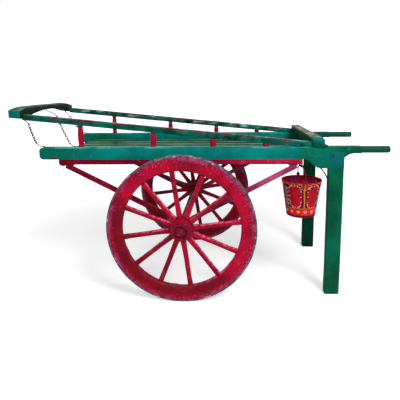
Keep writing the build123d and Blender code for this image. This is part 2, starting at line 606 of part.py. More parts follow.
# Rod corners back from the foot rod's root: run and rise, the last one at its eye
FOOT_RODS = {
    "left": ((27.0, 0.0), (59.0, 27.0)),
    "middle": ((26.0, 4.0), (53.0, 27.0)),
    "right": ((27.0, 0.0), (59.0, 27.0)),
}
for chain_name, top_y, top_z, low_x, low_y, low_z, bed_piece in CHAINS:
    top = Vector(AXLE_X + CHAIN_TOP_X, top_y, top_z)
    low = Vector(AXLE_X + low_x, low_y, low_z)
    head_run, head_drop = HEAD_RODS[chain_name][-1]
    foot_run, foot_rise = FOOT_RODS[chain_name][-1]
    first = top + Vector(head_run, 0, -head_drop)
    last = low + Vector(-foot_run, 0, foot_rise + ROD_LIE)
    middle = (first + last) / 2 - Vector(0, 0, 2 * CHAIN_SAG)
    route = Edge.make_bezier(first, middle, last)
    stretch = route.length + LINK_WIRE - LINK_SEAT
    link_count = round(stretch / LINK_PITCH)
    pitch = stretch / link_count
    inner = pitch - LINK_SEAT
    with BuildPart() as link:
        with BuildSketch(Plane.XZ) as outline:
            Rectangle(inner + 2 * LINK_WIRE, LINK_WIDTH)
            chamfer(outline.vertices(), length=LINK_CORNER)
            Rectangle(inner, LINK_WIDTH - 2 * LINK_WIRE, mode=Mode.SUBTRACT)
        extrude(amount=LINK_WIRE / 2, both=True)
    with BuildPart() as chain:
        # Head rod down from the bar, foot rod up from the bed, each to the far side of its eye
        head_eye = first - (route % 0) * EYE_RADIUS
        foot_eye = last + (route % 1) * EYE_RADIUS
        head_path = [top + Vector(0, 0, ROD_ROOT), top - Vector(0, 0, ROD_LEAD)]
        head_path += [top + Vector(run, 0, -drop) for run, drop in HEAD_RODS[chain_name][:-1]]
        head_path.append(head_eye - (route % 0) * EYE_RADIUS)
        foot_path = [low - Vector(0, 0, ROD_ROOT), low + Vector(0, 0, ROD_LIE)]
        foot_path += [low + Vector(-run, 0, rise + ROD_LIE) for run, rise in FOOT_RODS[chain_name][:-1]]
        foot_path.append(foot_eye + (route % 1) * EYE_RADIUS)
        for rod_points in (head_path, foot_path):
            with BuildLine() as rod:
                FilletPolyline(*rod_points, radius=ROD_BEND)
            sweep(wire_section(rod, ROD_WIRE, ROD_SIDES))
        add(tail_bar.part, mode=Mode.SUBTRACT)
        add(bed_piece.part, mode=Mode.SUBTRACT)
        for number in range(link_count):
            distance = (inner - LINK_WIRE) / 2 + LINK_SEAT + number * pitch
            centre = route.position_at(distance, position_mode=PositionMode.LENGTH)
            along = route.tangent_at(distance, position_mode=PositionMode.LENGTH)
            across = Vector(0, 1, 0) if number % 2 == 0 else along.cross(Vector(0, 1, 0))
            add(link.part.moved(Location(Plane(origin=centre, x_dir=along, z_dir=along.cross(across)))))
        for centre, along, crossing in ((head_eye, route % 0, 0), (foot_eye, route % 1, link_count - 1)):
            face = along.cross(Vector(0, 1, 0)) if crossing % 2 == 0 else Vector(0, 1, 0)
            add(eye.part.moved(Location(Plane(origin=centre, x_dir=along, z_dir=face))))
    finish(chain, f"chain_{chain_name}")

# Hook under the left sill
HOOK_Y = -(BED_HALF_WIDTH - SILL_THICK / 2)
SEAT_Z = SILL_BOTTOM - HOOK_DROP
with BuildPart() as hook:
    with BuildLine() as hook_path:
        FilletPolyline(
            (AXLE_X + BUCKET_X - HOOK_REACH / 2, HOOK_Y, SILL_BOTTOM),
            (AXLE_X + BUCKET_X - HOOK_REACH / 2, HOOK_Y, SEAT_Z),
            (AXLE_X + BUCKET_X + HOOK_REACH / 2, HOOK_Y, SEAT_Z),
            (AXLE_X + BUCKET_X + HOOK_REACH / 2, HOOK_Y, SEAT_Z + HOOK_TIP),
            radius=HOOK_BEND,
        )
    sweep(wire_section(hook_path, HOOK_WIRE, WIRE_SIDES))
finish(hook, "bucket_hook")

# Bucket: tapered shell with a rolled rim, a foot ring and an ear at each side for the bail
PIVOT_Z = SEAT_Z - BAIL_RISE
RIM_Z = PIVOT_Z - BUCKET_EAR_RISE
BASE_Z = RIM_Z - BUCKET_HEIGHT
BUCKET_TAPER = (BUCKET_RIM_RADIUS - BUCKET_BASE_RADIUS) / BUCKET_HEIGHT
bucket_middle = (AXLE_X + BUCKET_X, HOOK_Y, 0)
with BuildPart() as bucket:
    with BuildSketch(Plane(origin=bucket_middle, x_dir=(1, 0, 0), z_dir=(0, -1, 0))):
        floor_radius = BUCKET_BASE_RADIUS + BUCKET_TAPER * BUCKET_FOOT
        Polygon(
            (0, BASE_Z + BUCKET_FOOT),
            (BUCKET_BASE_RADIUS - BUCKET_WALL, BASE_Z + BUCKET_FOOT),
            (BUCKET_BASE_RADIUS - BUCKET_WALL, BASE_Z),
            (BUCKET_BASE_RADIUS, BASE_Z),
            (BUCKET_RIM_RADIUS - BUCKET_WALL, RIM_Z - BUCKET_BEAD),
            (BUCKET_RIM_RADIUS + BUCKET_BEAD / 2, RIM_Z - BUCKET_BEAD),
            (BUCKET_RIM_RADIUS + BUCKET_BEAD / 2, RIM_Z),
            (BUCKET_RIM_RADIUS - 2 * BUCKET_WALL, RIM_Z),
            (floor_radius - BUCKET_WALL, BASE_Z + BUCKET_FOOT + BUCKET_WALL),
            (0, BASE_Z + BUCKET_FOOT + BUCKET_WALL),
            align=None,
        )
    revolve(axis=Axis(bucket_middle, (0, 0, 1)))
    for ear_side in (-1, 1):
        ear_face = (AXLE_X + BUCKET_X, HOOK_Y + ear_side * BUCKET_RIM_RADIUS, 0)
        with BuildSketch(Plane(origin=ear_face, x_dir=(1, 0, 0), z_dir=(0, -1, 0))):
            with Locations((0, PIVOT_Z)):
                Circle(BUCKET_EAR / 2)
            with Locations((0, (PIVOT_Z + RIM_Z - BUCKET_BEAD) / 2)):
                Rectangle(BUCKET_EAR, PIVOT_Z - RIM_Z + BUCKET_BEAD)
            with Locations((0, PIVOT_Z)):
                Circle(BAIL_WIRE / 2 + BAIL_PLAY, mode=Mode.SUBTRACT)
        extrude(amount=ear_side * BUCKET_EAR_THICK)
finish(bucket, "bucket")

# Bail: arched wire over the bucket with an eye on the hook and a pin through each ear
with BuildPart() as bail:
    stand_out = BUCKET_RIM_RADIUS + BUCKET_EAR_THICK + BAIL_CLEAR
    with BuildLine(Plane(origin=bucket_middle, x_dir=(0, 1, 0), z_dir=(1, 0, 0))) as arch:
        FilletPolyline(
            (-stand_out, PIVOT_Z),
            (-stand_out, PIVOT_Z + BAIL_SHOULDER_RISE),
            (-BAIL_CROWN_HALF, SEAT_Z),
            (BAIL_CROWN_HALF, SEAT_Z),
            (stand_out, PIVOT_Z + BAIL_SHOULDER_RISE),
            (stand_out, PIVOT_Z),
            radius=BAIL_BEND,
        )
    sweep(wire_section(arch, BAIL_WIRE, WIRE_SIDES))
    for pin_side in (-1, 1):
        pin_end = (AXLE_X + BUCKET_X, HOOK_Y + pin_side * (stand_out + BAIL_WIRE / 2), PIVOT_Z)
        with BuildSketch(Plane(origin=pin_end, z_dir=(0, -pin_side, 0))):
            Circle(BAIL_WIRE / 2)
        extrude(amount=BAIL_CLEAR + BUCKET_EAR_THICK + 2 * BAIL_WIRE)
    with BuildSketch(Plane.YZ.offset(AXLE_X + BUCKET_X)):
        with Locations((HOOK_Y, SEAT_Z)):
            Circle(HOOK_WIRE / 2 + BAIL_WIRE)
    extrude(amount=BAIL_WIRE / 2, both=True)
    with BuildSketch(Plane.YZ.offset(AXLE_X + BUCKET_X)):
        with Locations((HOOK_Y, SEAT_Z)):
            Circle(HOOK_WIRE / 2 + BAIL_PLAY)
    extrude(amount=BAIL_WIRE, both=True, mode=Mode.SUBTRACT)
finish(bail, "bucket_bail")
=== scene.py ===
"""Looks of a painted two-wheeled hand barrow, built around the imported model.

Metres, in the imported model's frame: X towards the handles, Y across with the left side at -Y, Z up.
"""

import math

import bmesh
import bpy
from mathutils import Matrix, Vector, noise


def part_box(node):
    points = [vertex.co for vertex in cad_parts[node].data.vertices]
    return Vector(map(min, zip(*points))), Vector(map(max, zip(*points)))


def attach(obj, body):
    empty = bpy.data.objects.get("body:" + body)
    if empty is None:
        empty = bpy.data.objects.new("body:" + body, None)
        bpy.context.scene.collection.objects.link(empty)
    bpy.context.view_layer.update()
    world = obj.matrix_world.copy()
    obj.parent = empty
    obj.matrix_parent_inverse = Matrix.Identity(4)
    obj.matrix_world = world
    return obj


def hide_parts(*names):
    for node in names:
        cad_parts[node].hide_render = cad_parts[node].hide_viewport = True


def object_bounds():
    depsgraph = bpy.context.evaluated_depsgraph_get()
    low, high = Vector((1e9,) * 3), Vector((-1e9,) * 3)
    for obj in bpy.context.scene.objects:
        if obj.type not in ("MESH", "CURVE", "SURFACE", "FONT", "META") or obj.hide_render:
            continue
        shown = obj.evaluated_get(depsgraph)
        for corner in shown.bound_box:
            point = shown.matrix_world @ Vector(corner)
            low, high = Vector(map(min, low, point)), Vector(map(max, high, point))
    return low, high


FULL_TURN = 2 * math.pi
SIDES = (("left", -1), ("right", 1))

# Camera, fitted to the photograph's frame
CAMERA_PLACE = Vector((0.2036, -3.0822, 1.4321))
CAMERA_YAW = -0.0610
CAMERA_PITCH = 0.1580
CAMERA_ROLL = -0.0124
FRAME_PIXELS = 400
FOCAL_PIXELS = 401.97
CENTRE_PIXEL = (203.27, 150.63)
SENSOR_WIDTH = 36.0

# Light
SKY_LEVEL = 0.42
KEY_PLACE = Vector((2.1, -3.4, 3.9))
KEY_SIZE = 1.7
KEY_WATTS = 205.0
FILL_PLACE = Vector((-3.6, -3.0, 3.2))
FILL_SIZE = 3.0
FILL_WATTS = 40.0
FLOOR_TONE = 0.80
FLOOR_LIFT = 0.50
FLOOR_RADIUS = 60.0

# Timber: how far its edges are rounded, how uneven the hand-cut faces are, how lumpy thick paint is
TIMBER_EDGE = 0.0030
TIMBER_SLICE = 0.040
SHARP_EDGE = math.radians(30)
WOBBLE = 0.0012
WOBBLE_PER_METRE = 4.0
WOBBLE_SEED = 5
PAINT_LUMP = 0.0005

# Sizes that the source gives, with every x counted from the axle
AXLE_X = -0.1030
BED_HALF_WIDTH = 0.4420
BEAM_MIDDLE = 0.4170
BEAM_TOP = 1.0350
SILL_THICK = 0.0340
SILL_BOTTOM = 0.9160
RAIL_AT_AXLE = 1.1530
RAIL_SLOPE = 0.101
RAIL_DEPTH = 0.0400
LEG_INNER = 0.9720
LEG_THICK = 0.0460
STAY_WIRE = 0.0090
STAY_START = 0.8880
STAY_KNEE_Z = 0.9140
STAY_FALL = 0.1180
BEARERS = ("bearer_1", "bearer_2", "bearer_3", "bearer_4")
BOARD_COUNT = 6
BOARD_GAP = 0.0070
# The leg stay's bow, which stands a little further out than the source's, and how deep its foot sits
STAY_BULGE_RUN = 0.0530
STAY_BULGE_DROP = 0.0460
STAY_SEAT = 0.0040

# Wheels
WHEEL_RADIUS = 0.5000
NAVE_MIDDLE = 0.5400
NAVE_FLAT = 0.0740
NAVE_STEPS = 72
RIM_OUT = 0.0100
SPOKE_COUNT = 12
SPOKE_TURN = math.radians(8)
FELLOE_INNER = 0.3960
FELLOE_OUTER = 0.4880
FELLOE_COUNT = 6
FELLOE_GAP = math.radians(0.06)
FELLOE_STEPS = 40
FELLOE_CHAMFER = 0.0090
FELLOE_LEAST_CHAMFER = 0.0025
FELLOE_STOP = math.radians(4.5)
LUMPY_FROM = 0.4490
# Round a felloe's section: radius, how far out, and how its chamfer moves the point (radius, out)
FELLOE_RINGS = (
    (0.4880, 0.0000, (0, 0)), (0.4880, 0.0245, (0, 0)), (0.4868, 0.0259, (0, 0)), (0.4820, 0.0260, (0, 0)),
    (0.4740, 0.0260, (0, 0)), (0.4660, 0.0260, (0, 0)), (0.4580, 0.0260, (0, 0)), (0.4500, 0.0258, (0, 0)),
    (0.4440, 0.0252, (0, 0)), (0.4250, 0.0252, (0, 0)), (0.3960, 0.0252, (1, 0)), (0.3960, 0.0252, (0.40, -0.40)),
    (0.3960, 0.0252, (0, -1)), (0.3960, 0.0000, (0, 0)), (0.3960, -0.0252, (0, 1)), (0.3960, -0.0252, (0.40, 0.40)),
    (0.3960, -0.0252, (1, 0)), (0.4250, -0.0252, (0, 0)), (0.4440, -0.0252, (0, 0)), (0.4500, -0.0258, (0, 0)),
    (0.4620, -0.0260, (0, 0)), (0.4740, -0.0260, (0, 0)), (0.4868, -0.0259, (0, 0)), (0.4880, -0.0245, (0, 0)),
)
# Along a spoke: radius from the axle, half width, half thickness, squareness
SPOKE_SHAPE = (
    (0.0725, 0.0190, 0.0170, 6.0), (0.0820, 0.0190, 0.0170, 6.0), (0.0950, 0.0188, 0.0166, 4.4),
    (0.1130, 0.0181, 0.0158, 3.2), (0.1350, 0.0175, 0.0151, 2.7), (0.1600, 0.0171, 0.0146, 2.5),
    (0.1850, 0.0169, 0.0142, 2.4), (0.2150, 0.0166, 0.0140, 2.4), (0.2450, 0.0164, 0.0138, 2.4),
    (0.2750, 0.0164, 0.0138, 2.4), (0.3050, 0.0164, 0.0138, 2.4), (0.3350, 0.0165, 0.0138, 2.5),
    (0.3600, 0.0167, 0.0139, 2.9), (0.3750, 0.0170, 0.0140, 4.0), (0.3990, 0.0170, 0.0140, 4.6),
)
# Round the nave: radius and how far out from its middle, from the bore's back end
NAVE_OUTLINE = (
    (0.0163, -0.0880), (0.0540, -0.0880), (0.0560, -0.0866), (0.0560, -0.0670), (0.0576, -0.0655),
    (0.0604, -0.0630), (0.0614, -0.0590), (0.0604, -0.0550), (0.0610, -0.0532), (0.0655, -0.0440),
    (0.0710, -0.0362), (0.0750, -0.0318), (0.0763, -0.0290), (0.0763, -0.0228), (0.0749, -0.0216),
    (0.0763, -0.0204), (0.0763, 0.0204), (0.0749, 0.0216), (0.0763, 0.0228), (0.0763, 0.0290),
    (0.0750, 0.0318), (0.0700, 0.0372), (0.0640, 0.0440), (0.0604, 0.0490), (0.0616, 0.0512),
    (0.0610, 0.0540), (0.0584, 0.0566), (0.0550, 0.0580), (0.0550, 0.0772), (0.0542, 0.0780),
    (0.0442, 0.0780), (0.0430, 0.0768), (0.0430, 0.0620), (0.0163, 0.0620),
)
TYRE_OUTLINE = (
    (0.4876, -0.0250), (0.4880, -0.0264), (0.4900, -0.0269), (0.4962, -0.0270), (0.4984, -0.0261),
    (0.4994, -0.0232), (0.4998, -0.0120), (0.4999, 0.0000), (0.4998, 0.0120), (0.4994, 0.0232),
    (0.4984, 0.0261), (0.4962, 0.0270), (0.4900, 0.0269), (0.4880, 0.0264), (0.4876, 0.0250),
)
AXLE_CAP_OUTLINE = (
    (0, 0.0140), (0.0070, 0.0138), (0.0125, 0.0133), (0.0166, 0.0124), (0.0190, 0.0105), (0.0200, 0.0075),
    (0.0215, 0.0050), (0.0285, 0.0046), (0.0303, 0.0038), (0.0310, 0.0022), (0.0310, 0.0002), (0, 0.0002),
)

# Bands on the nave: from and to how far out, and inner radius; then their thickness and rounding
NAVE_BANDS = ((-0.0885, -0.0675, 0.0560), (0.0575, 0.0785, 0.0550))
BAND_THICK = 0.0040
BAND_EDGE = 0.0014
TYRE_STEPS = 200
TYRE_BOLT = (0.0090, 0.0014)
TYRE_BOLT_SUNK = 0.0016
CAP_SEAT = 0.0625
CAP_RIVET_RING = 0.0235
CAP_RIVET = (0.0032, 0.0022)
CAP_RIVET_COUNT = 3
CAP_RIVET_TURN = math.radians(40)

# Spindles: where they stand, and their outline as share of the height and radius
SPINDLE_STATIONS = (-0.690, -0.192, 0.210, 0.560)
SPINDLE_SHAPE = (
    (0.0, 0.0176), (0.03, 0.0188), (0.08, 0.0188), (0.11, 0.0170), (0.13, 0.0166), (0.16, 0.0174),
    (0.25, 0.0187), (0.38, 0.0198), (0.50, 0.0201), (0.65, 0.0193), (0.78, 0.0176), (0.86, 0.0160),
    (0.885, 0.0156), (0.91, 0.0168), (0.95, 0.0172), (0.98, 0.0170), (1.0, 0.0163),
)

# Chains and the eyed rods at their ends
TAIL_BAR_GRIP = 0.0300
ARCH_RISE = 0.0420
CHAIN_TOP_X = -1.1090
CHAIN_TOP_Y = 0.3720
CHAIN_LOW_X = -0.9480
CHAIN_MIDDLE_X = -0.8850
TAIL_BEARER_TOP = 0.9710
TAIL_BEARER_BOTTOM = 0.9530
CHAIN_SAG = 0.0080
LINK_PITCH = 0.0206
LINK_WIRE = 0.0044
LINK_THICK = 0.0054
LINK_WIDTH = 0.0160
LINK_SEAT = 0.0002
EYE_RADIUS = 0.0060
ROD_WIRE = 0.0062
ROD_BEND = 0.0050
ROD_LEAD = 0.0120
ROD_LIE = 0.0050
EYE_STEPS = 20
LINK_SWAY = math.radians(9)
# Each rod's corners, as run and drop from the bar or run and rise from the bed: the upper rod, then the lower
SIDE_RODS = ((0.038, 0.050),), ((0.027, 0.0), (0.059, 0.027))
MIDDLE_RODS = ((0.054, 0.038), (0.080, 0.066)), ((0.026, 0.004), (0.053, 0.027))

# Hook, bail and bucket
BUCKET_X = 0.8000
HOOK_Y = -0.4250
SEAT_Z = 0.9020
PIVOT_Z = 0.8220
RIM_Z = 0.8140
BASE_Z = 0.5730
RIM_RADIUS = 0.1310
BASE_RADIUS = 0.0940
BUCKET_WALL = 0.0025
EAR_THICK = 0.0050
BAIL_WIRE = 0.0070
BAIL_CLEAR = 0.0050
BAIL_SHOULDER = 0.0500
BAIL_CROWN_HALF = 0.0420
BAIL_BEND = 0.0380
BAIL_EYE_WIRE = 0.0058
BAIL_EYE_SHIFT = 0.0030
BAIL_EYE_HALF = 0.0085
HOOK_WIRE = 0.0090
HOOK_BEND = 0.0090
HOOK_REACH = 0.0340
HOOK_TIP = 0.0200
HOOK_PLATE = (0.0090, 0.0028)
EAR_RIVET = (0.0036, 0.0022)
EAR_RIVET_DROPS = (0.014, 0.027)
# Up the bucket's wall: height and how far a swage stands out
BUCKET_WALL_LINE = (
    (0.5748, 0.0000), (0.5765, 0.0012), (0.5868, 0.0012), (0.5890, 0.0000), (0.6200, 0.0), (0.6600, 0.0),
    (0.7000, 0.0), (0.7400, 0.0), (0.7800, 0.0), (0.8065, 0.0),
)
# Down an ear's shield: drop below the rim, half width, how far its middle stands out
EAR_PLATE = (
    (0.0008, 0.0150, 0.0010), (0.0070, 0.0185, 0.0010), (0.0180, 0.0200, 0.0008), (0.0290, 0.0182, 0.0008),
    (0.0380, 0.0128, 0.0007), (0.0445, 0.0050, 0.0006),
)

# Bolts on a leg's outer face: x from the axle, height, radius
LEG_BOLTS = ((1.000, 0.972, 0.0090), (1.044, 0.915, 0.0090), (1.024, 0.515, 0.0070), (1.003, 0.277, 0.0055))
LEG_BOLT_HIGH = 0.0040
STAY_NUT_X = -0.8230
STAY_NUT_WIDE = 0.0150
STAY_RIVETS_X = (-0.790, 0.745)
STAY_RIVET_Z = 0.8940
# Radius and height of a head
STAY_RIVET = (0.0075, 0.0030)
DECK_NAIL = (0.0045, 0.0012)
DECK_NAIL_SHARES = (0.22, 0.78)

# The bucket's painted bands and panels
GOLD_Z = 0.8030
PANEL_Z = 0.7200
PANEL_HIGH = 0.0750
PANEL_HALF = math.radians(22)
BAND_TOP = 0.6393
BAND_LOW = 0.5899
PETAL_COUNT = 20
PANEL_COUNT = 6
FLOWER_COUNT = 14
SPRIG_LEAVES = 5
FLOWER_REACH = 0.0068


def rail_top(x):
    """Height of the sloping rails' top face at a distance x from the axle."""
    return RAIL_AT_AXLE - RAIL_SLOPE * x


def srgb(red, green, blue):
    """A display colour, 0 to 255, as the linear colour that sockets take."""
    linear = [(c / 255 / 12.92) if c <= 10 else ((c / 255 + 0.055) / 1.055) ** 2.4 for c in (red, green, blue)]
    return (*linear, 1.0)


# --- The frame and the camera ---------------------------------------------------------------

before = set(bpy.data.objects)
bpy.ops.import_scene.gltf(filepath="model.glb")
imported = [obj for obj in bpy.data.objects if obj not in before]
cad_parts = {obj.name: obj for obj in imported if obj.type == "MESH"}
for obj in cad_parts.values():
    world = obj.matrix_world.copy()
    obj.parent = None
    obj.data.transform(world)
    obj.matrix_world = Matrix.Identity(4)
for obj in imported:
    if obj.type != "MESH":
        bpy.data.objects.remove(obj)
cad_low, cad_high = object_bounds()
noise.seed_set(WOBBLE_SEED)


def add_object(name, data):
    """A new object in the scene."""
    made = bpy.data.objects.new(name, data)
    bpy.context.scene.collection.objects.link(made)
    return made


def place_camera():
    """The camera at the photograph's place, turned and shifted as the photograph was."""
    forward = Vector((
        math.sin(CAMERA_YAW) * math.cos(CAMERA_PITCH),
        math.cos(CAMERA_YAW) * math.cos(CAMERA_PITCH),
        -math.sin(CAMERA_PITCH),
    ))
    level = Vector((math.cos(CAMERA_YAW), -math.sin(CAMERA_YAW), 0))
    upright = level.cross(forward)
    right = math.cos(CAMERA_ROLL) * level + math.sin(CAMERA_ROLL) * upright
    up = math.cos(CAMERA_ROLL) * upright - math.sin(CAMERA_ROLL) * level
    data = bpy.data.cameras.new("photo_camera")
    data.sensor_width = SENSOR_WIDTH
    data.lens = FOCAL_PIXELS * SENSOR_WIDTH / FRAME_PIXELS
    data.shift_x = 0.5 - CENTRE_PIXEL[0] / FRAME_PIXELS
    data.shift_y = CENTRE_PIXEL[1] / FRAME_PIXELS - 0.5
    camera = add_object("photo_camera", data)
    camera.matrix_world = Matrix.Translation(CAMERA_PLACE) @ Matrix((right, up, -forward)).transposed().to_4x4()
    bpy.context.scene.camera = camera


place_camera()


# --- Shader nodes ---------------------------------------------------------------------------


class Field:
    """A value, colour or vector that changes over a surface: an output of a node in a material's tree."""

    def __init__(self, tree, socket):
        """Keeps the tree, so that what is worked out from the field lands in the same one."""
        self.tree, self.socket = tree, socket

    def step(self, operation, other=0.0):
        """One step of arithmetic on values."""
        return node(self.tree, "Math", {0: self, 1: other}, operation=operation)

    def __add__(self, other):
        """Sum."""
        return self.step("ADD", other)

    def __sub__(self, other):
        """Difference."""
        return self.step("SUBTRACT", other)

    def __rsub__(self, other):
        """Difference from a plain number."""
        return node(self.tree, "Math", {0: other, 1: self}, operation="SUBTRACT")

    def __mul__(self, other):
        """Product."""
        return self.step("MULTIPLY", other)

    def __truediv__(self, other):
        """Quotient."""
        return self.step("DIVIDE", other)

    def __abs__(self):
        """Size without its sign."""
        return self.step("ABSOLUTE")

    def vector(self, operation, other=(0, 0, 0)):
        """One step of arithmetic on vectors."""
        output = "Value" if operation in ("LENGTH", "DOT_PRODUCT") else "Vector"
        return node(self.tree, "VectorMath", {0: self, 1: other}, output, operation=operation)

    def axis(self, name):
        """One coordinate of a vector."""
        return node(self.tree, "SeparateXYZ", {0: self}, name)

    def ramp(self, low, high, to_low=0.0, to_high=1.0):
        """Smooth step of a value from low to high."""
        ends = {"From Min": low, "From Max": high, "To Min": to_low, "To Max": to_high}
        return node(self.tree, "MapRange", {"Value": self, **ends}, "Result", interpolation_type="SMOOTHSTEP")


def join(tree, target, value):
    """Gives a socket a plain value, or joins it to a field."""
    if isinstance(value, Field):
        tree.links.new(value.socket, target)
    else:
        target.default_value = value


def node(tree, kind, inputs, output=0, **settings):
    """One output of a new shader node, whose inputs are plain values or fields."""
    made = tree.nodes.new(f"ShaderNode{kind}")
    for name, value in settings.items():
        setattr(made, name, value)
    for name, value in inputs.items():
        join(tree, made.inputs[name], value)
    return Field(tree, made.outputs[output])


def mix(factor, below, above):
    """Colour below where the factor is 0, above where it is 1."""
    return node(factor.tree, "Mix", {0: factor, 6: below, 7: above}, 2, data_type="RGBA")


def speckle(place, scale, detail=3.0, rough=0.55, stretch=None):
    """Noise between 0 and 1 at so many spots a metre, stretched along the axes if asked."""
    if stretch is not None:
        place = node(place.tree, "Mapping", {"Vector": place, "Scale": stretch})
    look = {"Scale": scale, "Detail": detail, "Roughness": rough}
    return node(place.tree, "TexNoise", {"Vector": place, **look}, "Fac")


def wander(place, scale, detail, reach, **more):
    """Noise that strays to both sides of zero."""
    return (speckle(place, scale, detail, **more) - 0.5) * reach


def normal_of(place):
    """The direction that each point of the surface faces."""
    return node(place.tree, "NewGeometry", {}, "Normal")


def effect(build, **inputs):
    """A node group for an effect that materials share: build turns its named inputs into its outputs."""
    tree = bpy.data.node_groups.new(build.__name__, "ShaderNodeTree")
    for name, default in {"Place": (0, 0, 0), **inputs}.items():
        kind = "Float" if isinstance(default, float) else "Vector" if len(default) == 3 else "Color"
        tree.interface.new_socket(name, in_out="INPUT", socket_type=f"NodeSocket{kind}").default_value = default
    given = tree.nodes.new("NodeGroupInput").outputs
    made = build(*(Field(tree, given[name]) for name in ("Place", *inputs)))
    for name in made:
        kind = "Color" if name == "Color" else "Float"
        tree.interface.new_socket(name, in_out="OUTPUT", socket_type=f"NodeSocket{kind}")
    result = tree.nodes.new("NodeGroupOutput").inputs
    for name, field in made.items():
        join(tree, result[name], field)
    return tree


def use(group, place, **inputs):
    """A shared effect placed in a material; its outputs by name."""
    made = place.tree.nodes.new("ShaderNodeGroup")
    made.node_tree = group
    for name, value in {"Place": place, **inputs}.items():
        join(place.tree, made.inputs[name], value)
    return {socket.name: Field(place.tree, socket) for socket in made.outputs}


def brushed_coat(place, coat, deep, chalk, patches, chalking):
    """Old gloss paint: its colour drifts in patches, it chalks, and it is duller where it has chalked."""
    fine = speckle(place, patches * 9.0, 5.0, 0.65)
    body = mix(speckle(place, patches).ramp(0.36, 0.66), coat, deep)
    body = mix(fine.ramp(0.62, 0.78, 0.0, 0.35), body, deep)
    chalky = speckle(place, patches * 3.1, 6.0, 0.7)
    return {
        "Color": mix(chalky.ramp(0.56, 0.72) * chalking, body, chalk),
        "Roughness": chalky.ramp(0.35, 0.75, 0.26, 0.50) + fine * 0.10,
    }


def worn_edges(place, reach, ragged, amount):
    """A mask of the edges that hands and loads have rubbed, broken up by noise."""
    rounded = node(place.tree, "Bevel", {"Radius": reach}, samples=6)
    edge = rounded.vector("DOT_PRODUCT", normal_of(place)).ramp(0.992, 0.93)
    return {"Mask": edge * speckle(place, ragged, 5.0, 0.7).ramp(0.80 - amount * 0.45, 0.82)}


def paint_lumps(place, size, brush, grit):
    """The height of thick paint laid on by hand: sags, brush marks and small grit."""
    marks = speckle(place.vector("MULTIPLY", brush), size * 3.0, 4.0, 0.6)
    cells = {"Vector": place, "Scale": size * 4.5, "Smoothness": 0.6}
    bubbles = node(place.tree, "TexVoronoi", cells, "Distance", feature="SMOOTH_F1")
    return {"Height": speckle(place, size, 2.0, 0.5) + marks * 0.45 + bubbles.ramp(0.45, 0.05) * grit}


def flecks(place, fineness, share):
    """A mask of small chips, thinly scattered in loose drifts."""
    drifts = speckle(place, fineness / 14.0, 2.0).ramp(0.40, 0.62)
    level = 0.80 - share * 0.25
    return {"Mask": speckle(place, fineness, 2.0, 0.6).ramp(level, level + 0.03) * drifts}


def timber_grain(place, along, fineness):
    """Long fibres and a few drying cracks, along the axis that Along leaves short."""
    run = place.vector("MULTIPLY", along)
    split = speckle(run, fineness * 0.6, 2.0, 0.4)
    return {"Fibre": speckle(run, fineness, 4.0, 0.6), "Crack": abs(split - 0.5).ramp(0.012, 0.0)}


def road_dirt(place, top, amount):
    """A mask of dust and mud, thick at the ground and thinning upwards."""
    clotted = speckle(place, 22.0, 6.0, 0.7).ramp(0.40, 0.75)
    return {"Mask": place.axis("Z").ramp(top, 0.0) * clotted * amount}


BRUSHED_COAT = effect(
    brushed_coat, Coat=(0.5, 0.5, 0.5, 1), Deep=(0.2, 0.2, 0.2, 1), Chalk=(0.8, 0.8, 0.8, 1), Patches=5.0,
    Chalking=0.3,
)
WORN_EDGES = effect(worn_edges, Reach=0.006, Ragged=60.0, Amount=0.6)
PAINT_LUMPS = effect(paint_lumps, Size=40.0, Brush=(1, 1, 1), Grit=0.3)
FLECKS = effect(flecks, Fineness=140.0, Share=0.3)
TIMBER_GRAIN = effect(timber_grain, Along=(0.04, 1, 1), Fineness=90.0)
ROAD_DIRT = effect(road_dirt, Top=0.5, Amount=0.4)


def new_material(name):
    """A material, its shader's sockets and the place of each point on the piece."""
    material = bpy.data.materials.new(name)
    material.use_nodes = True
    tree = material.node_tree
    return material, tree.nodes["Principled BSDF"].inputs, node(tree, "TexCoord", {}, "Object")


def coat_shader(shader, colour, rough, gloss, height, depth):
    """Joins a finish to its shader, with a bump of a real depth in metres."""
    relief = {"Height": height, "Distance": depth, "Strength": 1.0}
    bump = node(colour.tree, "Bump", relief, "Normal")
    for name, value in (("Base Color", colour), ("Roughness", rough), ("Normal", bump)):
        join(colour.tree, shader[name], value)
    shader["Specular IOR Level"].default_value = gloss


# Colours of the paints
TEAL = srgb(0, 124, 116)
TEAL_DEEP = srgb(0, 104, 96)
TEAL_CHALK = srgb(86, 172, 162)
KNEE_GREEN = srgb(0, 96, 80)
LEAF_GREEN = srgb(0, 92, 66)
LEAF_DEEP = srgb(0, 70, 48)
LEAF_CHALK = srgb(38, 128, 100)
HANDLE_GREEN = srgb(0, 74, 54)
# Greens for the far leg, darkened for the shade under the bed: painted shade
SHADED_FAR_LEAF = srgb(0, 54, 36)
SHADED_FAR_LEAF_DEEP = srgb(0, 38, 24)
BAR_GREEN = srgb(12, 44, 30)
BAR_DEEP = srgb(4, 20, 12)
BAR_CHALK = srgb(74, 150, 100)
RAIL_GREEN = srgb(0, 94, 78)
RAIL_DEEP = srgb(0, 58, 48)
RAIL_CHALK = srgb(136, 196, 202)
RAIL_RED = srgb(120, 20, 42)
RAIL_RED_DEEP = srgb(64, 12, 24)
CRIMSON = srgb(174, 0, 42)
CRIMSON_DEEP = srgb(124, 0, 30)
CRIMSON_CHALK = srgb(224, 88, 128)
# Crimson for the wheel's darker lower side: painted shade
PAINTED_SHADE_CRIMSON = srgb(114, 0, 18)
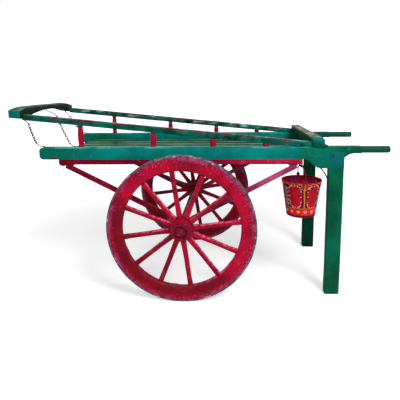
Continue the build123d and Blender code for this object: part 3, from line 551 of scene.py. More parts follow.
# Lilac: chips on the wheel rim that are partly painted highlight, and painted sheen on the hub bands
LILAC = srgb(196, 96, 140)
WINE = srgb(110, 0, 34)
OXBLOOD = srgb(140, 2, 40)
OXBLOOD_DEEP = srgb(98, 0, 26)
RED_FRESH = srgb(164, 14, 50)
TURNED_RED = srgb(154, 0, 44)
MAUVE = srgb(172, 68, 106)
MAUVE_DEEP = srgb(136, 40, 78)
DECK_GREEN = srgb(78, 144, 100)
DECK_DEEP = srgb(36, 100, 70)
DECK_CHALK = srgb(150, 176, 136)
DECK_SHADE = srgb(0, 40, 28)
BARE_WOOD = srgb(176, 146, 116)
OLD_WOOD = srgb(86, 60, 44)
PRIMER = srgb(186, 176, 160)
SLATE_BLUE = srgb(8, 82, 94)
DUST = srgb(112, 96, 84)
RUST = srgb(104, 58, 38)


def painted_timber(
    name, coat, deep, chalk, bare=PRIMER, along=(0.05, 1, 1), patches=6.0, chalking=0.25, edge=0.5, chips=0.15,
    lump_size=30.0, lump_depth=0.0014, dirt_top=0.35, dirt=0.25, tint=None, gloss=0.05,
):
    """Timber under gloss paint: drifting colour, rubbed edges, chips, grain that shows through, dirt low down."""
    material, shader, place = new_material(name)
    colours = {"Coat": coat, "Deep": deep, "Chalk": chalk}
    if tint is not None:
        colours = tint(place, colours)
    laid = use(BRUSHED_COAT, place, **colours, Patches=patches, Chalking=chalking)
    grain = use(TIMBER_GRAIN, place, Along=along)
    lumps = use(PAINT_LUMPS, place, Size=lump_size, Brush=along)["Height"]
    rubbed = use(WORN_EDGES, place, Amount=edge)["Mask"]
    bared = rubbed.step("MAXIMUM", use(FLECKS, place, Share=chips)["Mask"])
    colour = mix(bared, laid["Color"], mix(grain["Fibre"], bare, OLD_WOOD))
    colour = mix(grain["Crack"] * 0.35, colour, colours["Deep"])
    soiled = use(ROAD_DIRT, place, Top=dirt_top, Amount=dirt)["Mask"]
    rough = laid["Roughness"] + bared.step("MAXIMUM", soiled) * 0.35
    height = lumps + grain["Fibre"] * 0.35 - bared * 0.5
    coat_shader(shader, mix(soiled, colour, DUST), rough, gloss, height, lump_depth)
    return material


def tinted(mask, colours, coat, deep):
    """The coat's colours changed where a mask is 1."""
    return {**colours, "Coat": mix(mask, colours["Coat"], coat), "Deep": mix(mask, colours["Deep"], deep)}


def facing_up(place):
    """A mask of the faces that look upwards."""
    return normal_of(place).axis("Z").ramp(0.55, 0.85)


def drift_along(place, colours, *stops):
    """Shifts a coat's colours along X: each stop is (from x, to x, coat, deep)."""
    x = place.axis("X") + wander(place, 7.0, 4.0, 0.16)
    for start, end, coat, deep in stops:
        colours = tinted(x.ramp(start, end), colours, coat, deep)
    return colours


def beam_tint(place, colours):
    """Teal along the bed, greener at the tail, over the knee and on the handle; a pale worn top arris."""
    colours = drift_along(
        place, {**colours, "Coat": KNEE_GREEN, "Deep": LEAF_GREEN},
        (-0.98, -0.50, TEAL, TEAL_DEEP),
        (0.62, 0.76, KNEE_GREEN, LEAF_GREEN),
        (0.88, 0.98, HANDLE_GREEN, LEAF_DEEP),
    )
    arris = place.axis("Z").ramp(BEAM_TOP - 0.012, BEAM_TOP - 0.002)
    worn = arris * speckle(place, 5.0, 5.0, 0.7).ramp(0.46, 0.62) * place.axis("X").ramp(0.80, 0.70)
    return tinted(worn, colours, TEAL_CHALK, TEAL)


def leg_tint(place, colours):
    """The lapped head of the leg has flaked to an older slate-blue coat."""
    head = place.axis("Z").ramp(0.885, 0.93)
    flaked = speckle(place, 26.0, 6.0, 0.7).ramp(0.40, 0.62) * head
    return tinted(flaked, tinted(head, colours, KNEE_GREEN, LEAF_GREEN), SLATE_BLUE, SLATE_BLUE)


def rail_tint(place, colours):
    """A broken dark red line along the rail's upper edge, bleached and shaded patches."""
    top = place.axis("X") * -RAIL_SLOPE + (RAIL_AT_AXLE + RAIL_SLOPE * AXLE_X)
    depth = top - place.axis("Z") + wander(place, 15.0, 3.0, 0.026)
    lined = depth.ramp(0.0120, 0.0090) * depth.ramp(-0.0010, 0.0020)
    broken = speckle(place, 11.0, 5.0, 0.75, (1, 1, 2)).ramp(0.56, 0.48) * place.axis("X").ramp(0.72, 0.58)
    right_side = place.axis("Y").ramp(-0.1, 0.1) * depth.ramp(0.030, 0.012)
    bleached = speckle(place, 22.0, 5.0, 0.7, (0.5, 1, 2)).ramp(0.48, 0.62)
    weathered = facing_up(place).step("MAXIMUM", right_side) * bleached
    colours = tinted(weathered, colours, RAIL_CHALK, TEAL_CHALK)
    colours = tinted(speckle(place, 6.0, 4.0, 0.6).ramp(0.56, 0.64), colours, RAIL_DEEP, BAR_DEEP)
    return tinted(lined * broken, colours, RAIL_RED, RAIL_RED_DEEP)


def tail_bar_tint(place, colours):
    """Nearly black, with a teal end face and a top worn to light green by the shoulders."""
    across = abs(place.axis("Y"))
    worn = speckle(place, 16.0, 5.0, 0.7).ramp(0.42, 0.56) * across.ramp(0.26, 0.34) * facing_up(place)
    end = across.ramp(BED_HALF_WIDTH + 0.012, BED_HALF_WIDTH + 0.018)
    return tinted(end, tinted(worn, colours, BAR_CHALK, RAIL_GREEN), TEAL_DEEP, KNEE_GREEN)


def front_bar_tint(place, colours):
    """Green faces, a top worn through to brown timber, and teal over the upper part of each end."""
    worn = speckle(place, 26.0, 5.0, 0.7).ramp(0.48, 0.57) * facing_up(place)
    end = abs(place.axis("Y")).ramp(0.38, 0.42)
    low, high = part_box("front_bar")
    upper = place.axis("Z").ramp((low.z + high.z) / 2 - 0.010, high.z - 0.006)
    foremost = place.axis("X").ramp(high.x - 0.010, (low.x + high.x) / 2)
    colours = tinted(worn, colours, BARE_WOOD, OLD_WOOD)
    return tinted(upper * foremost * end, tinted(end, colours, HANDLE_GREEN, LEAF_DEEP), TEAL_DEEP, SLATE_BLUE)


def wheel_tint(place, colours):
    """Wine red at the nave, a flecked, mauve rim whose lilac flecks are partly painted highlight, painted highlight
    on the spokes' upper sides and painted shade on their undersides, and painted shade over one side.
    """
    spoke = place.vector("SUBTRACT", (AXLE_X, 0, WHEEL_RADIUS))
    radius = spoke.vector("MULTIPLY", (1, 0, 1)).vector("LENGTH")
    stray = wander(place, 14.0, 4.0, 0.03)
    rim = (radius + stray).ramp(LUMPY_FROM - 0.004, LUMPY_FROM + 0.008)
    clots = speckle(place, 78.0, 5.0, 0.7)
    mauve = speckle(place, 16.0, 5.0, 0.7).ramp(0.46, 0.60, 0.0, 0.8)
    upwards = normal_of(place).axis("Z")
    spokes = radius.ramp(FELLOE_INNER + 0.004, FELLOE_INNER)
    # Painted highlight: the spokes' upward faces lightened to chalky pink, as if lit from above
    spoke_painted_highlight = upwards.ramp(0.15, 0.55) * speckle(place, 36.0, 4.0, 0.7).ramp(0.44, 0.56)
    # Painted shade: darker paint over the wheel's lower side towards the tail, inside the rim
    painted_shade_side = (spoke.vector("DOT_PRODUCT", (-0.65, 0, -0.75)) + stray).ramp(0.02, 0.34, 0.0, 0.85)
    for mask, coat, deep in (
        (rim * clots.ramp(0.50, 0.40), WINE, WINE),
        # Lilac flecks on the lumpy rim: chipped paint, and partly painted highlight on the lumps
        (rim * clots.ramp(0.57, 0.66), LILAC, CRIMSON_CHALK),
        (radius.ramp(0.454, 0.480) * mauve, MAUVE_DEEP, MAUVE),
        (spokes * spoke_painted_highlight, CRIMSON_CHALK, CRIMSON_CHALK),
        # Painted shade: the spokes' undersides darkened to wine
        (spokes * upwards.ramp(-0.15, -0.6), WINE, WINE),
        (painted_shade_side * radius.ramp(LUMPY_FROM + 0.03, LUMPY_FROM - 0.01), PAINTED_SHADE_CRIMSON, OXBLOOD_DEEP),
        (radius.ramp(0.098, 0.078), OXBLOOD, OXBLOOD_DEEP),
        (radius.ramp(0.064, 0.058), WINE, OXBLOOD_DEEP),
    ):
        colours = tinted(mask, colours, coat, deep)
    return colours


def board_pitch():
    """The deck's box, and the distance from one board to the next."""
    low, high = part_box("deck_boards")
    return low, high, (high.y - low.y + BOARD_GAP) / BOARD_COUNT


def deck_tint(place, colours):
    """Dark along the joints between the boards."""
    off_joint = abs((place.axis("Y") / board_pitch()[2] + 10.5).step("FRACT") - 0.5)
    stray = wander(place, 11.0, 4.0, 0.3, stretch=(0.3, 1, 1))
    shaded = (off_joint + stray).ramp(0.34, 0.20)
    return {**tinted(shaded, colours, DECK_SHADE, DECK_SHADE), "Chalk": mix(shaded, colours["Chalk"], DECK_DEEP)}


def sill_tint(place, colours):
    """A brighter red towards the handles."""
    return drift_along(place, colours, (0.10, 0.45, RED_FRESH, OXBLOOD))


def stay_tint(place, colours):
    """Faded to mauve towards the handles."""
    return drift_along(place, colours, (-0.10, 0.25, MAUVE, MAUVE_DEEP))


ALONG_Y = (1, 0.05, 1)
ALONG_Z = (1, 1, 0.05)
NO_GRAIN = (1, 1, 1)
GREEN_BEAM = painted_timber(
    "green_beam", TEAL, TEAL_DEEP, TEAL_CHALK, bare=TEAL_CHALK, tint=beam_tint, edge=0.35, chips=0.04, chalking=0.15
)
GREEN_LEG = painted_timber(
    "green_leg", LEAF_GREEN, LEAF_DEEP, LEAF_CHALK, along=ALONG_Z, tint=leg_tint, edge=0.3, chips=0.08,
    chalking=0.12, dirt=0.06,
)
# The far leg: a darker copy of the near leg's green, painted shade
GREEN_LEG_PAINTED_SHADE = painted_timber(
    "green_leg_right_painted_shade", SHADED_FAR_LEAF, SHADED_FAR_LEAF_DEEP, LEAF_DEEP, along=ALONG_Z, edge=0.2, chips=0.04, dirt=0.05, gloss=0.04
)
GREEN_RAIL = painted_timber(
    "green_rail", RAIL_GREEN, RAIL_DEEP, TEAL_CHALK, tint=rail_tint, edge=0.35, chips=0.05, patches=9.0
)
TAIL_GREEN = painted_timber(
    "green_tail_bar", BAR_GREEN, BAR_DEEP, BAR_CHALK, along=ALONG_Y, edge=0.25, chips=0.12, chalking=0.05,
    lump_depth=0.0024, tint=tail_bar_tint, gloss=0.03,
)
FRONT_GREEN = painted_timber(
    "green_front_bar", LEAF_DEEP, BAR_GREEN, BAR_CHALK, along=ALONG_Y, edge=0.6, chips=0.3, chalking=0.2,
    lump_depth=0.0020, tint=front_bar_tint,
)
RED_TIMBER = painted_timber(
    "red_timber", OXBLOOD, OXBLOOD_DEEP, CRIMSON_CHALK, patches=4.0, edge=0.45, chips=0.10, tint=sill_tint
)
RED_CROSS = painted_timber(
    "red_bearer", OXBLOOD_DEEP, WINE, OXBLOOD, along=ALONG_Y, edge=0.3, chips=0.1, chalking=0.15
)
RED_TURNED = painted_timber(
    "red_turned", TURNED_RED, OXBLOOD, CRIMSON_CHALK, along=(1, 1, 0.1), edge=0.35, chips=0.2, chalking=0.2,
    lump_size=60.0, lump_depth=0.0010, gloss=0.10,
)
RED_WHEEL = painted_timber(
    "red_wheel", CRIMSON, CRIMSON_DEEP, CRIMSON_CHALK, bare=CRIMSON_CHALK, along=NO_GRAIN, patches=5.0,
    chalking=0.20, edge=0.85, lump_size=34.0, lump_depth=0.0034, dirt_top=0.22, dirt=0.06,
    tint=wheel_tint, gloss=0.10,
)
DECK_TIMBER = painted_timber(
    "deck_timber", DECK_GREEN, DECK_DEEP, DECK_CHALK, bare=DECK_CHALK, patches=4.0, chalking=0.30, edge=0.3,
    chips=0.3, lump_depth=0.0012, tint=deck_tint, gloss=0.04,
)
RED_IRON = painted_timber(
    "red_iron", OXBLOOD, OXBLOOD_DEEP, CRIMSON_CHALK, bare=srgb(70, 40, 38), along=NO_GRAIN, edge=0.35, chips=0.2,
    chalking=0.35, lump_size=45.0, lump_depth=0.0016, tint=stay_tint, gloss=0.08,
)
BOLT_GREEN = painted_timber(
    "green_bolts", LEAF_GREEN, LEAF_DEEP, TEAL_CHALK, along=NO_GRAIN, patches=30.0, lump_size=90.0, lump_depth=0.0005
)


def iron(
    name, body, patina, scale, rough, rust_and_sheen, rust_and_sheen_share, metallic=0.0, pits=0.0006, dirt=0.0, gloss=0.35,
):
    """Wrought iron, bare or painted: mottled, hammered and pitted, with patches of rust, which on the tyre and the
    hub bands are lilac painted sheen, and dirt where asked.
    """
    material, shader, place = new_material(name)
    mottle = speckle(place, scale, 5.0, 0.65)
    rust_and_sheened = speckle(place, scale * 0.7, 7.0, 0.75).ramp(0.68 - 0.3 * rust_and_sheen_share, 0.78 - 0.3 * rust_and_sheen_share)
    colour = mix(rust_and_sheened, mix(mottle.ramp(0.38, 0.64), body, patina), rust_and_sheen)
    soiled = use(ROAD_DIRT, place, Top=1.0, Amount=dirt)["Mask"]
    hammered = use(PAINT_LUMPS, place, Size=scale * 1.6, Grit=0.4)["Height"]
    shader["Metallic"].default_value = metallic
    coat_shader(shader, mix(soiled, colour, DUST), mottle.ramp(0.3, 0.7, *rough), gloss, hammered, pits)
    return material


AXLE_IRON = iron("axle_iron", srgb(104, 6, 28), srgb(56, 8, 20), 22.0, (0.35, 0.6), RUST, 0.2, dirt=0.2, gloss=0.12)
# The tyre's lilac patches are painted sheen, standing for light on the iron
TYRE_IRON = iron(
    "tyre_iron", srgb(96, 82, 102), srgb(46, 38, 50), 34.0, (0.36, 0.62), srgb(172, 140, 170), 0.55, metallic=0.2,
    pits=0.0014, dirt=0.15,
)
CHAIN_IRON = iron(
    "chain_iron", srgb(24, 22, 24), srgb(10, 10, 12), 120.0, (0.6, 0.85), srgb(50, 30, 24), 0.3, gloss=0.06
)
STAY_IRON = iron("stay_iron", srgb(96, 90, 94), srgb(60, 58, 64), 60.0, (0.35, 0.6), RUST, 0.3, metallic=0.2)
BAIL_IRON = iron("bail_iron", srgb(104, 8, 26), srgb(58, 10, 22), 90.0, (0.4, 0.6), srgb(64, 40, 34), 0.4, gloss=0.1)
# The hub bands' lilac patches are painted sheen
HUB_IRON = iron(
    "hub_iron", srgb(136, 6, 38), srgb(84, 4, 24), 60.0, (0.3, 0.5), LILAC, 0.3, pits=0.0010, gloss=0.15
)


def brush_paint(name, coat, deep):
    """Sign-writer's enamel laid with a loaded brush: thin and darker in places, ridged along the stroke."""
    material, shader, place = new_material(name)
    thin = speckle(place, 130.0).ramp(0.36, 0.64)
    ridges = use(PAINT_LUMPS, place, Size=260.0, Grit=0.1)["Height"]
    coat_shader(shader, mix(thin, coat, deep), thin.ramp(0.0, 1.0, 0.28, 0.45), 0.2, ridges, 0.0003)
    return material


GOLD_PAINT = brush_paint("gold_paint", srgb(222, 142, 34), srgb(170, 92, 22))
ROSE_PAINT = brush_paint("rose_paint", srgb(228, 168, 184), srgb(196, 84, 116))
LEAF_PAINT = brush_paint("leaf_paint", srgb(178, 184, 166), srgb(104, 112, 92))
FLOWER_PAINT = brush_paint("flower_paint", srgb(250, 176, 190), srgb(236, 108, 108))
EAR_RED = brush_paint("ear_red", srgb(176, 4, 22), srgb(110, 0, 18))


def painted_bucket():
    """Maroon ground, six rounded red panels, an orange-red band above the base and a dark red inside, whose violet
    patches are painted reflection.
    """
    material, shader, place = new_material("bucket_paint")
    out = place.vector("SUBTRACT", (AXLE_X + BUCKET_X, HOOK_Y, 0))
    x, y, height = (out.axis(name) for name in "XYZ")
    stray = speckle(place, 60.0, 4.0, 0.6) - 0.5
    panel_turn = FULL_TURN / PANEL_COUNT
    share = (x.step("ARCTAN2", y * -1.0) / panel_turn + 12.0).step("FRACT")
    sideways = abs(share - 0.5) / (PANEL_HALF / panel_turn)
    upwards = abs(height - PANEL_Z) / PANEL_HIGH
    reach = sideways.step("POWER", 4.0) + upwards.step("POWER", 4.0)
    panel = (reach + stray * 1.2).ramp(1.08, 0.92)
    wavy = height + stray * 0.006
    band = wavy.ramp(BAND_TOP + 0.001, BAND_TOP - 0.001) * wavy.ramp(BAND_LOW - 0.001, BAND_LOW + 0.001)
    radius = node(place.tree, "CombineXYZ", {"X": x, "Y": y}).vector("LENGTH")
    slope = (RIM_RADIUS - BASE_RADIUS) / (RIM_Z - BASE_Z)
    wall = height * slope + (BASE_RADIUS - slope * BASE_Z)
    inside = (wall - radius).step("GREATER_THAN", BUCKET_WALL / 2)
    patch = speckle(place, 24.0, 4.0).ramp(0.40, 0.62)
    colour = mix(patch, srgb(98, 0, 20), srgb(60, 0, 14))
    for mask, coat, deep in (
        (panel, srgb(170, 0, 20), srgb(136, 0, 16)),
        (band, srgb(214, 36, 24), srgb(178, 14, 20)),
        # Inside: dark red, with violet patches of painted reflection
        (inside, srgb(150, 0, 18), srgb(112, 10, 72)),
    ):
        colour = mix(mask, colour, mix(patch, coat, deep))
    colour = mix(height.ramp(RIM_Z - 0.007, RIM_Z - 0.005), colour, srgb(196, 10, 24))
    chipped = use(FLECKS, place, Fineness=220.0, Share=0.25)["Mask"]
    rough = speckle(place, 40.0, 4.0).ramp(0.3, 0.7, 0.22, 0.42)
    dents = speckle(place, 30.0, 2.0) + chipped * -0.2
    coat_shader(shader, mix(chipped, colour, srgb(60, 34, 30)), rough, 0.12, dents, 0.0010)
    return material


BUCKET_PAINT = painted_bucket()


# --- Modelling ------------------------------------------------------------------------------

AXIS_X, AXIS_Y, AXIS_Z = Vector((1, 0, 0)), Vector((0, 1, 0)), Vector((0, 0, 1))


def to_mesh(bm, name):
    """A mesh with a bmesh's shape, and the bmesh let go."""
    mesh = bpy.data.meshes.new(name)
    bm.to_mesh(mesh)
    bm.free()
    return mesh


def finish_piece(bm, name, body, material, nodes=(), smooth_to=40.0):
    """Turns a bmesh into a piece that rides on a body and stands for its CAD nodes."""
    bmesh.ops.recalc_face_normals(bm, faces=bm.faces)
    mesh = to_mesh(bm, name)
    mesh.shade_smooth()
    mesh.set_sharp_from_angle(angle=math.radians(smooth_to))
    mesh.materials.append(material)
    piece = add_object(name, mesh)
    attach(piece, body)
    if nodes:
        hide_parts(*nodes)


def finish_side(bm, side_name, name, body, material, node_name, smooth_to):
    """Finishes the piece that stands for one side's CAD node."""
    finish_piece(bm, f"{name}_{side_name}", body, material, (f"{node_name}_{side_name}",), smooth_to)


def slice_along(bm, axis, pitch):
    """Cuts rings across a timber, so that it can be uneven along its length."""
    low = min(v.co[axis] for v in bm.verts)
    high = max(v.co[axis] for v in bm.verts)
    count = int((high - low) / pitch)
    normal = (AXIS_X, AXIS_Y, AXIS_Z)[axis]
    for number in range(1, count):
        point = normal * (low + number * (high - low) / count)
        bmesh.ops.bisect_plane(bm, geom=[*bm.verts, *bm.edges, *bm.faces], dist=1e-6, plane_co=point, plane_no=normal)


def cad_timber(name, axis, edge):
    """A CAD node's shape, merged, with its flat faces whole, its edges rounded, and cut into slices."""
    bm = bmesh.new()
    bm.from_mesh(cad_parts[name].data)
    bmesh.ops.remove_doubles(bm, verts=bm.verts, dist=1e-5)
    bmesh.ops.dissolve_limit(bm, angle_limit=math.radians(1), verts=bm.verts, edges=bm.edges)
    sharp = [e for e in bm.edges if e.is_manifold and e.calc_face_angle(0) > SHARP_EDGE]
    bmesh.ops.bevel(
        bm, geom=sharp, offset=edge, offset_type="OFFSET", segments=2, profile=0.5, affect="EDGES", material=-1,
        clamp_overlap=True,
    )
    slice_along(bm, axis, TIMBER_SLICE)
    return bm


def unevenness(point):
    """How far the hand-cut timber strays at a point. All timbers share it, so their seats stay closed."""
    broad = noise.noise_vector(point * WOBBLE_PER_METRE)
    fine = noise.noise_vector(point * WOBBLE_PER_METRE * 5)
    return broad * WOBBLE + fine * WOBBLE * 0.4


def make_lumpy(bm, per_metre):
    """Pushes all points a little, for paint that is lumpy at so many lumps a metre."""
    for vert in bm.verts:
        vert.co += noise.noise_vector(vert.co * per_metre) * PAINT_LUMP


def dress_timber(node_name, material, axis, edge=TIMBER_EDGE, wobble=True):
    """A timber or iron in the CAD's shape with rounded edges, and slightly uneven faces where it is timber."""
    bm = cad_timber(node_name, axis, edge)
    if wobble:
        for vert in bm.verts:
            vert.co += unevenness(vert.co)
            vert.co.z = max(vert.co.z, 0)
    finish_piece(bm, f"dressed_{node_name}", "root", material, (node_name,))


def dress_tail_bearer():
    """The last cross timber, its underside raised so that none of it shows below the beams."""
    bm = cad_timber("tail_bearer", 1, TIMBER_EDGE)
    low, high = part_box("tail_bearer")
    for vert in bm.verts:
        vert.co.z = high.z - (high.z - vert.co.z) * (high.z - TAIL_BEARER_BOTTOM) / (high.z - low.z)
    finish_piece(bm, "dressed_tail_bearer", "root", RED_CROSS, ("tail_bearer",))


def turned(bm, outline, centre, axis, steps, closed=False):
    """Spins an outline of (radius, distance along the axis) round an axis through the centre."""
    start = axis.orthogonal().normalized()
    verts = [bm.verts.new(centre + start * radius + axis * along) for radius, along in outline]
    edges = [bm.edges.new(pair) for pair in zip(verts, verts[1:])]
    if closed:
        edges.append(bm.edges.new((verts[-1], verts[0])))
    spin_round(bm, verts + edges, centre, axis, steps)
    bmesh.ops.remove_doubles(bm, verts=bm.verts, dist=1e-6)


def spin_round(bm, geom, centre, axis, steps):
    """A full spin of part of a bmesh."""
    bmesh.ops.spin(
        bm, geom=geom, cent=centre, axis=axis, angle=FULL_TURN, steps=steps, use_merge=True, use_duplicate=False
    )


def drawn_bar(bm, stations, sides, closed=False):
    """A bar drawn through stations of (middle, across, up, half width, half depth, squareness)."""
    count = len(stations)
    rows = count if closed else count - 1
    grid = bmesh.ops.create_grid(bm, x_segments=sides, y_segments=rows, size=0.5)
    for vert in grid["verts"]:
        turn = (vert.co.x + 0.5) * FULL_TURN
        place, across, up, half_wide, half_deep, square = stations[round((vert.co.y + 0.5) * rows) % count]
        cosine, sine = math.cos(turn), math.sin(turn)
        wide = math.copysign(abs(cosine) ** (2 / square), cosine) * half_wide
        deep = math.copysign(abs(sine) ** (2 / square), sine) * half_deep
        vert.co = place + across * wide + up * deep
    bmesh.ops.remove_doubles(bm, verts=grid["verts"], dist=1e-7)
    bmesh.ops.holes_fill(bm, edges=[e for e in bm.edges if e.is_boundary], sides=sides)


def round_bar(bm, points, radius, sides, closed=False):
    """A round bar along points. The radius may be a function of how far along it is, 0 to 1."""
    across = (points[1] - points[0]).orthogonal().normalized()
    stations = []
    count = len(points)
    for number, point in enumerate(points):
        before = points[(number - 1) % count if closed else max(number - 1, 0)]
        after = points[(number + 1) % count if closed else min(number + 1, count - 1)]
        ahead = (after - before).normalized()
        across = (across - ahead * across.dot(ahead)).normalized()
        size = radius(number / (count - 1)) if callable(radius) else radius
        stations.append((point, across, ahead.cross(across), size, size, 2.0))
    drawn_bar(bm, stations, sides, closed)


def rounded_route(corners, radius, steps=6):
    """Points of a bent rod: straight between its corners and rounded at them."""
    points = [corners[0]]
    for before, corner, after in zip(corners, corners[1:], corners[2:]):
        back = (before - corner).normalized()
        ahead = (after - corner).normalized()
        reach = radius * math.tan((math.pi - back.angle(ahead)) / 2)
        start, end = corner + back * reach, corner + ahead * reach
        for number in range(steps + 1):
            part = number / steps
            points.append(start.lerp(corner, part).lerp(corner.lerp(end, part), part))
    points.append(corners[-1])
    return points


def bolt_head(bm, place, outwards, radius, height, steps=14):
    """The domed head of a bolt or nail, with its foot sunk in what it holds."""
    dome = ((0, 1), (0.45, 0.92), (0.8, 0.62), (1, 0.15), (1, -0.5), (0, -0.5))
    turned(bm, [(radius * wide, height * high) for wide, high in dome], place, outwards, steps)


def square_nut(bm, place, outwards, across_flats, height, turn):
    """A square nut with softened edges."""
    up = Matrix.Rotation(turn, 3, outwards) @ outwards.orthogonal().normalized()
    side = outwards.cross(up)
    half = across_flats / 2
    drawn_bar(bm, [
        (place + outwards * height * rise, up, side, half * share, half * share, square)
        for rise, share, square in ((-0.4, 1, 8.0), (0.8, 1, 8.0), (1, 0.82, 6.0))
    ], 16)


def dress_bed():
    """Beams, sills, bearers, deck, bars and rails."""
    for side_name, _ in SIDES:
        # The right leg takes the darkened green: painted shade
        leg_paint = GREEN_LEG if side_name == "left" else GREEN_LEG_PAINTED_SHADE
        dress_timber(f"beam_{side_name}", GREEN_BEAM, 0)
        dress_timber(f"leg_{side_name}", leg_paint, 2)
        dress_timber(f"sill_{side_name}", RED_TIMBER, 0, 0.0025)
        dress_timber(f"rail_{side_name}", GREEN_RAIL, 0, 0.0045)
        dress_timber(f"axle_stay_{side_name}", RED_IRON, 0, 0.0020, wobble=False)
    for name in BEARERS:
        dress_timber(name, RED_CROSS, 1)
    dress_tail_bearer()
    dress_timber("axle", AXLE_IRON, 1, 0.0015, wobble=False)
    dress_timber("tail_bar", TAIL_GREEN, 1, 0.0040)
    dress_timber("front_bar", FRONT_GREEN, 1, 0.0040)
    dress_timber("deck_boards", DECK_TIMBER, 0, 0.0025)


# Wheels


def shape_felloes(hub, side):
    """Six felloes with a joint between every other pair of spokes, chamfers stopped at the joints, lumpy rims."""
    bm = bmesh.new()
    span = FULL_TURN / FELLOE_COUNT
    swing = span - FELLOE_GAP
    rows = len(FELLOE_RINGS)
    for number in range(FELLOE_COUNT):
        first = SPOKE_TURN + FULL_TURN / (2 * SPOKE_COUNT) + number * span + FELLOE_GAP / 2
        grid = bmesh.ops.create_grid(bm, x_segments=rows, y_segments=FELLOE_STEPS, size=0.5)
        for vert in grid["verts"]:
            along = vert.co.y + 0.5
            radius, out, chamfered = FELLOE_RINGS[round((vert.co.x + 0.5) * rows) % rows]
            stop = min(1.0, min(along, 1 - along) * swing / FELLOE_STOP)
            chamfer = FELLOE_LEAST_CHAMFER + (FELLOE_CHAMFER - FELLOE_LEAST_CHAMFER) * stop
            radius += chamfered[0] * chamfer
            out += chamfered[1] * chamfer
            turn = first + along * swing
            point = hub + Vector((math.cos(turn) * radius, side * (RIM_OUT + out), math.sin(turn) * radius))
            rim_share = min(1.0, max(0.0, (radius - LUMPY_FROM) / 0.008))
            if radius < FELLOE_OUTER - 0.001:
                point.y += noise.noise(point * 70) * 0.0016 * rim_share + noise.noise(point * 12) * 0.0008
            vert.co = point
        bmesh.ops.remove_doubles(bm, verts=grid["verts"], dist=1e-6)
        bmesh.ops.holes_fill(bm, edges=[e for e in bm.edges if e.is_boundary], sides=rows)
    return bm


def radial(turn):
    """The direction across the axle at a turn from X towards Z."""
    return Vector((math.cos(turn), 0, math.sin(turn)))


def shape_spokes(hub, side):
    """Twelve dished spokes: square at the nave, shaved oval between, squared again at the felloe."""
    bm = bmesh.new()
    for number in range(SPOKE_COUNT):
        turn = SPOKE_TURN + number * FULL_TURN / SPOKE_COUNT
        edgeways = Vector((-math.sin(turn), 0, math.cos(turn)))
        stations = []
        for radius, half_wide, half_thick, square in SPOKE_SHAPE:
            share = (radius - NAVE_FLAT) / (FELLOE_INNER - NAVE_FLAT)
            middle = hub + radial(turn) * radius + AXIS_Y * side * RIM_OUT * share
            middle += edgeways * noise.noise(middle * 9 + Vector((number, 0, 0))) * 0.0015
            stations.append((middle, edgeways, AXIS_Y, half_wide, half_thick, square))
        drawn_bar(bm, stations, 20)
    make_lumpy(bm, 60)
    return bm


def shape_tyre(hub, out):
    """The iron tyre, worn uneven, with a bolt between every two spokes."""
    bm = bmesh.new()
    rim = hub + out * RIM_OUT
    turned(bm, TYRE_OUTLINE, rim, out, TYRE_STEPS, closed=True)
    for vert in bm.verts:
        spoke = vert.co - hub
        outward = Vector((spoke.x, 0, spoke.z)).normalized()
        vert.co -= outward * (0.0004 + 0.0004 * noise.noise(vert.co * 45))
        vert.co.y += noise.noise(vert.co * 60) * 0.0007
    for number in range(2 * FELLOE_COUNT):
        outward = radial(SPOKE_TURN + (number + 0.5) * FULL_TURN / (2 * FELLOE_COUNT))
        bolt_head(bm, rim + outward * (WHEEL_RADIUS - TYRE_BOLT_SUNK), outward, *TYRE_BOLT)
    return bm


def shape_wheel(side_name, side):
    """One wheel: nave, bands, spokes, felloes and tyre, and the cap that keeps it on the axle."""
    hub = Vector((AXLE_X, side * NAVE_MIDDLE, WHEEL_RADIUS))
    out = AXIS_Y * side

    nave, bands, cap = bmesh.new(), bmesh.new(), bmesh.new()
    turned(nave, NAVE_OUTLINE, hub, out, NAVE_STEPS, closed=True)
    for low, high, inner in NAVE_BANDS:
        foot, top = inner - 0.001, inner + BAND_THICK
        outline = (
            (foot, low + 0.0005), (top - BAND_EDGE, low), (top, low + BAND_EDGE), (top, high - BAND_EDGE),
            (top - BAND_EDGE, high), (foot, high - 0.0005),
        )
        turned(bands, outline, hub, out, NAVE_STEPS, closed=True)
    seat = Vector((AXLE_X, side * (NAVE_MIDDLE + CAP_SEAT), WHEEL_RADIUS))
    turned(cap, AXLE_CAP_OUTLINE, seat, out, 48)
    for number in range(CAP_RIVET_COUNT):
        turn = CAP_RIVET_TURN + number * FULL_TURN / CAP_RIVET_COUNT
        place = seat + radial(turn) * CAP_RIVET_RING + out * 0.0045
        bolt_head(cap, place, out, *CAP_RIVET, 10)

    wheel = f"wheel_{side_name}"
    for bm, name, body, material, slot, node_name, smooth_to in (
        (nave, "turned_nave", wheel, RED_WHEEL, "red_wheel", "nave", 30),
        (bands, "hooped_bands", wheel, HUB_IRON, "red_iron", "nave_bands", 35),
        (shape_spokes(hub, side), "shaved_spokes", wheel, RED_WHEEL, "red_wheel", "spokes", 50),
        (shape_felloes(hub, side), "jointed_felloes", wheel, RED_WHEEL, "red_wheel", "felloes", 35),
        (shape_tyre(hub, out), "shrunk_tyre", wheel, TYRE_IRON, "tyre_iron", "tyre", 40),
        (cap, "axle_cap", "root", HUB_IRON, "axle_iron", "axle_nut", 35),
    ):
        finish_side(bm, side_name, name, body, material, node_name, smooth_to)


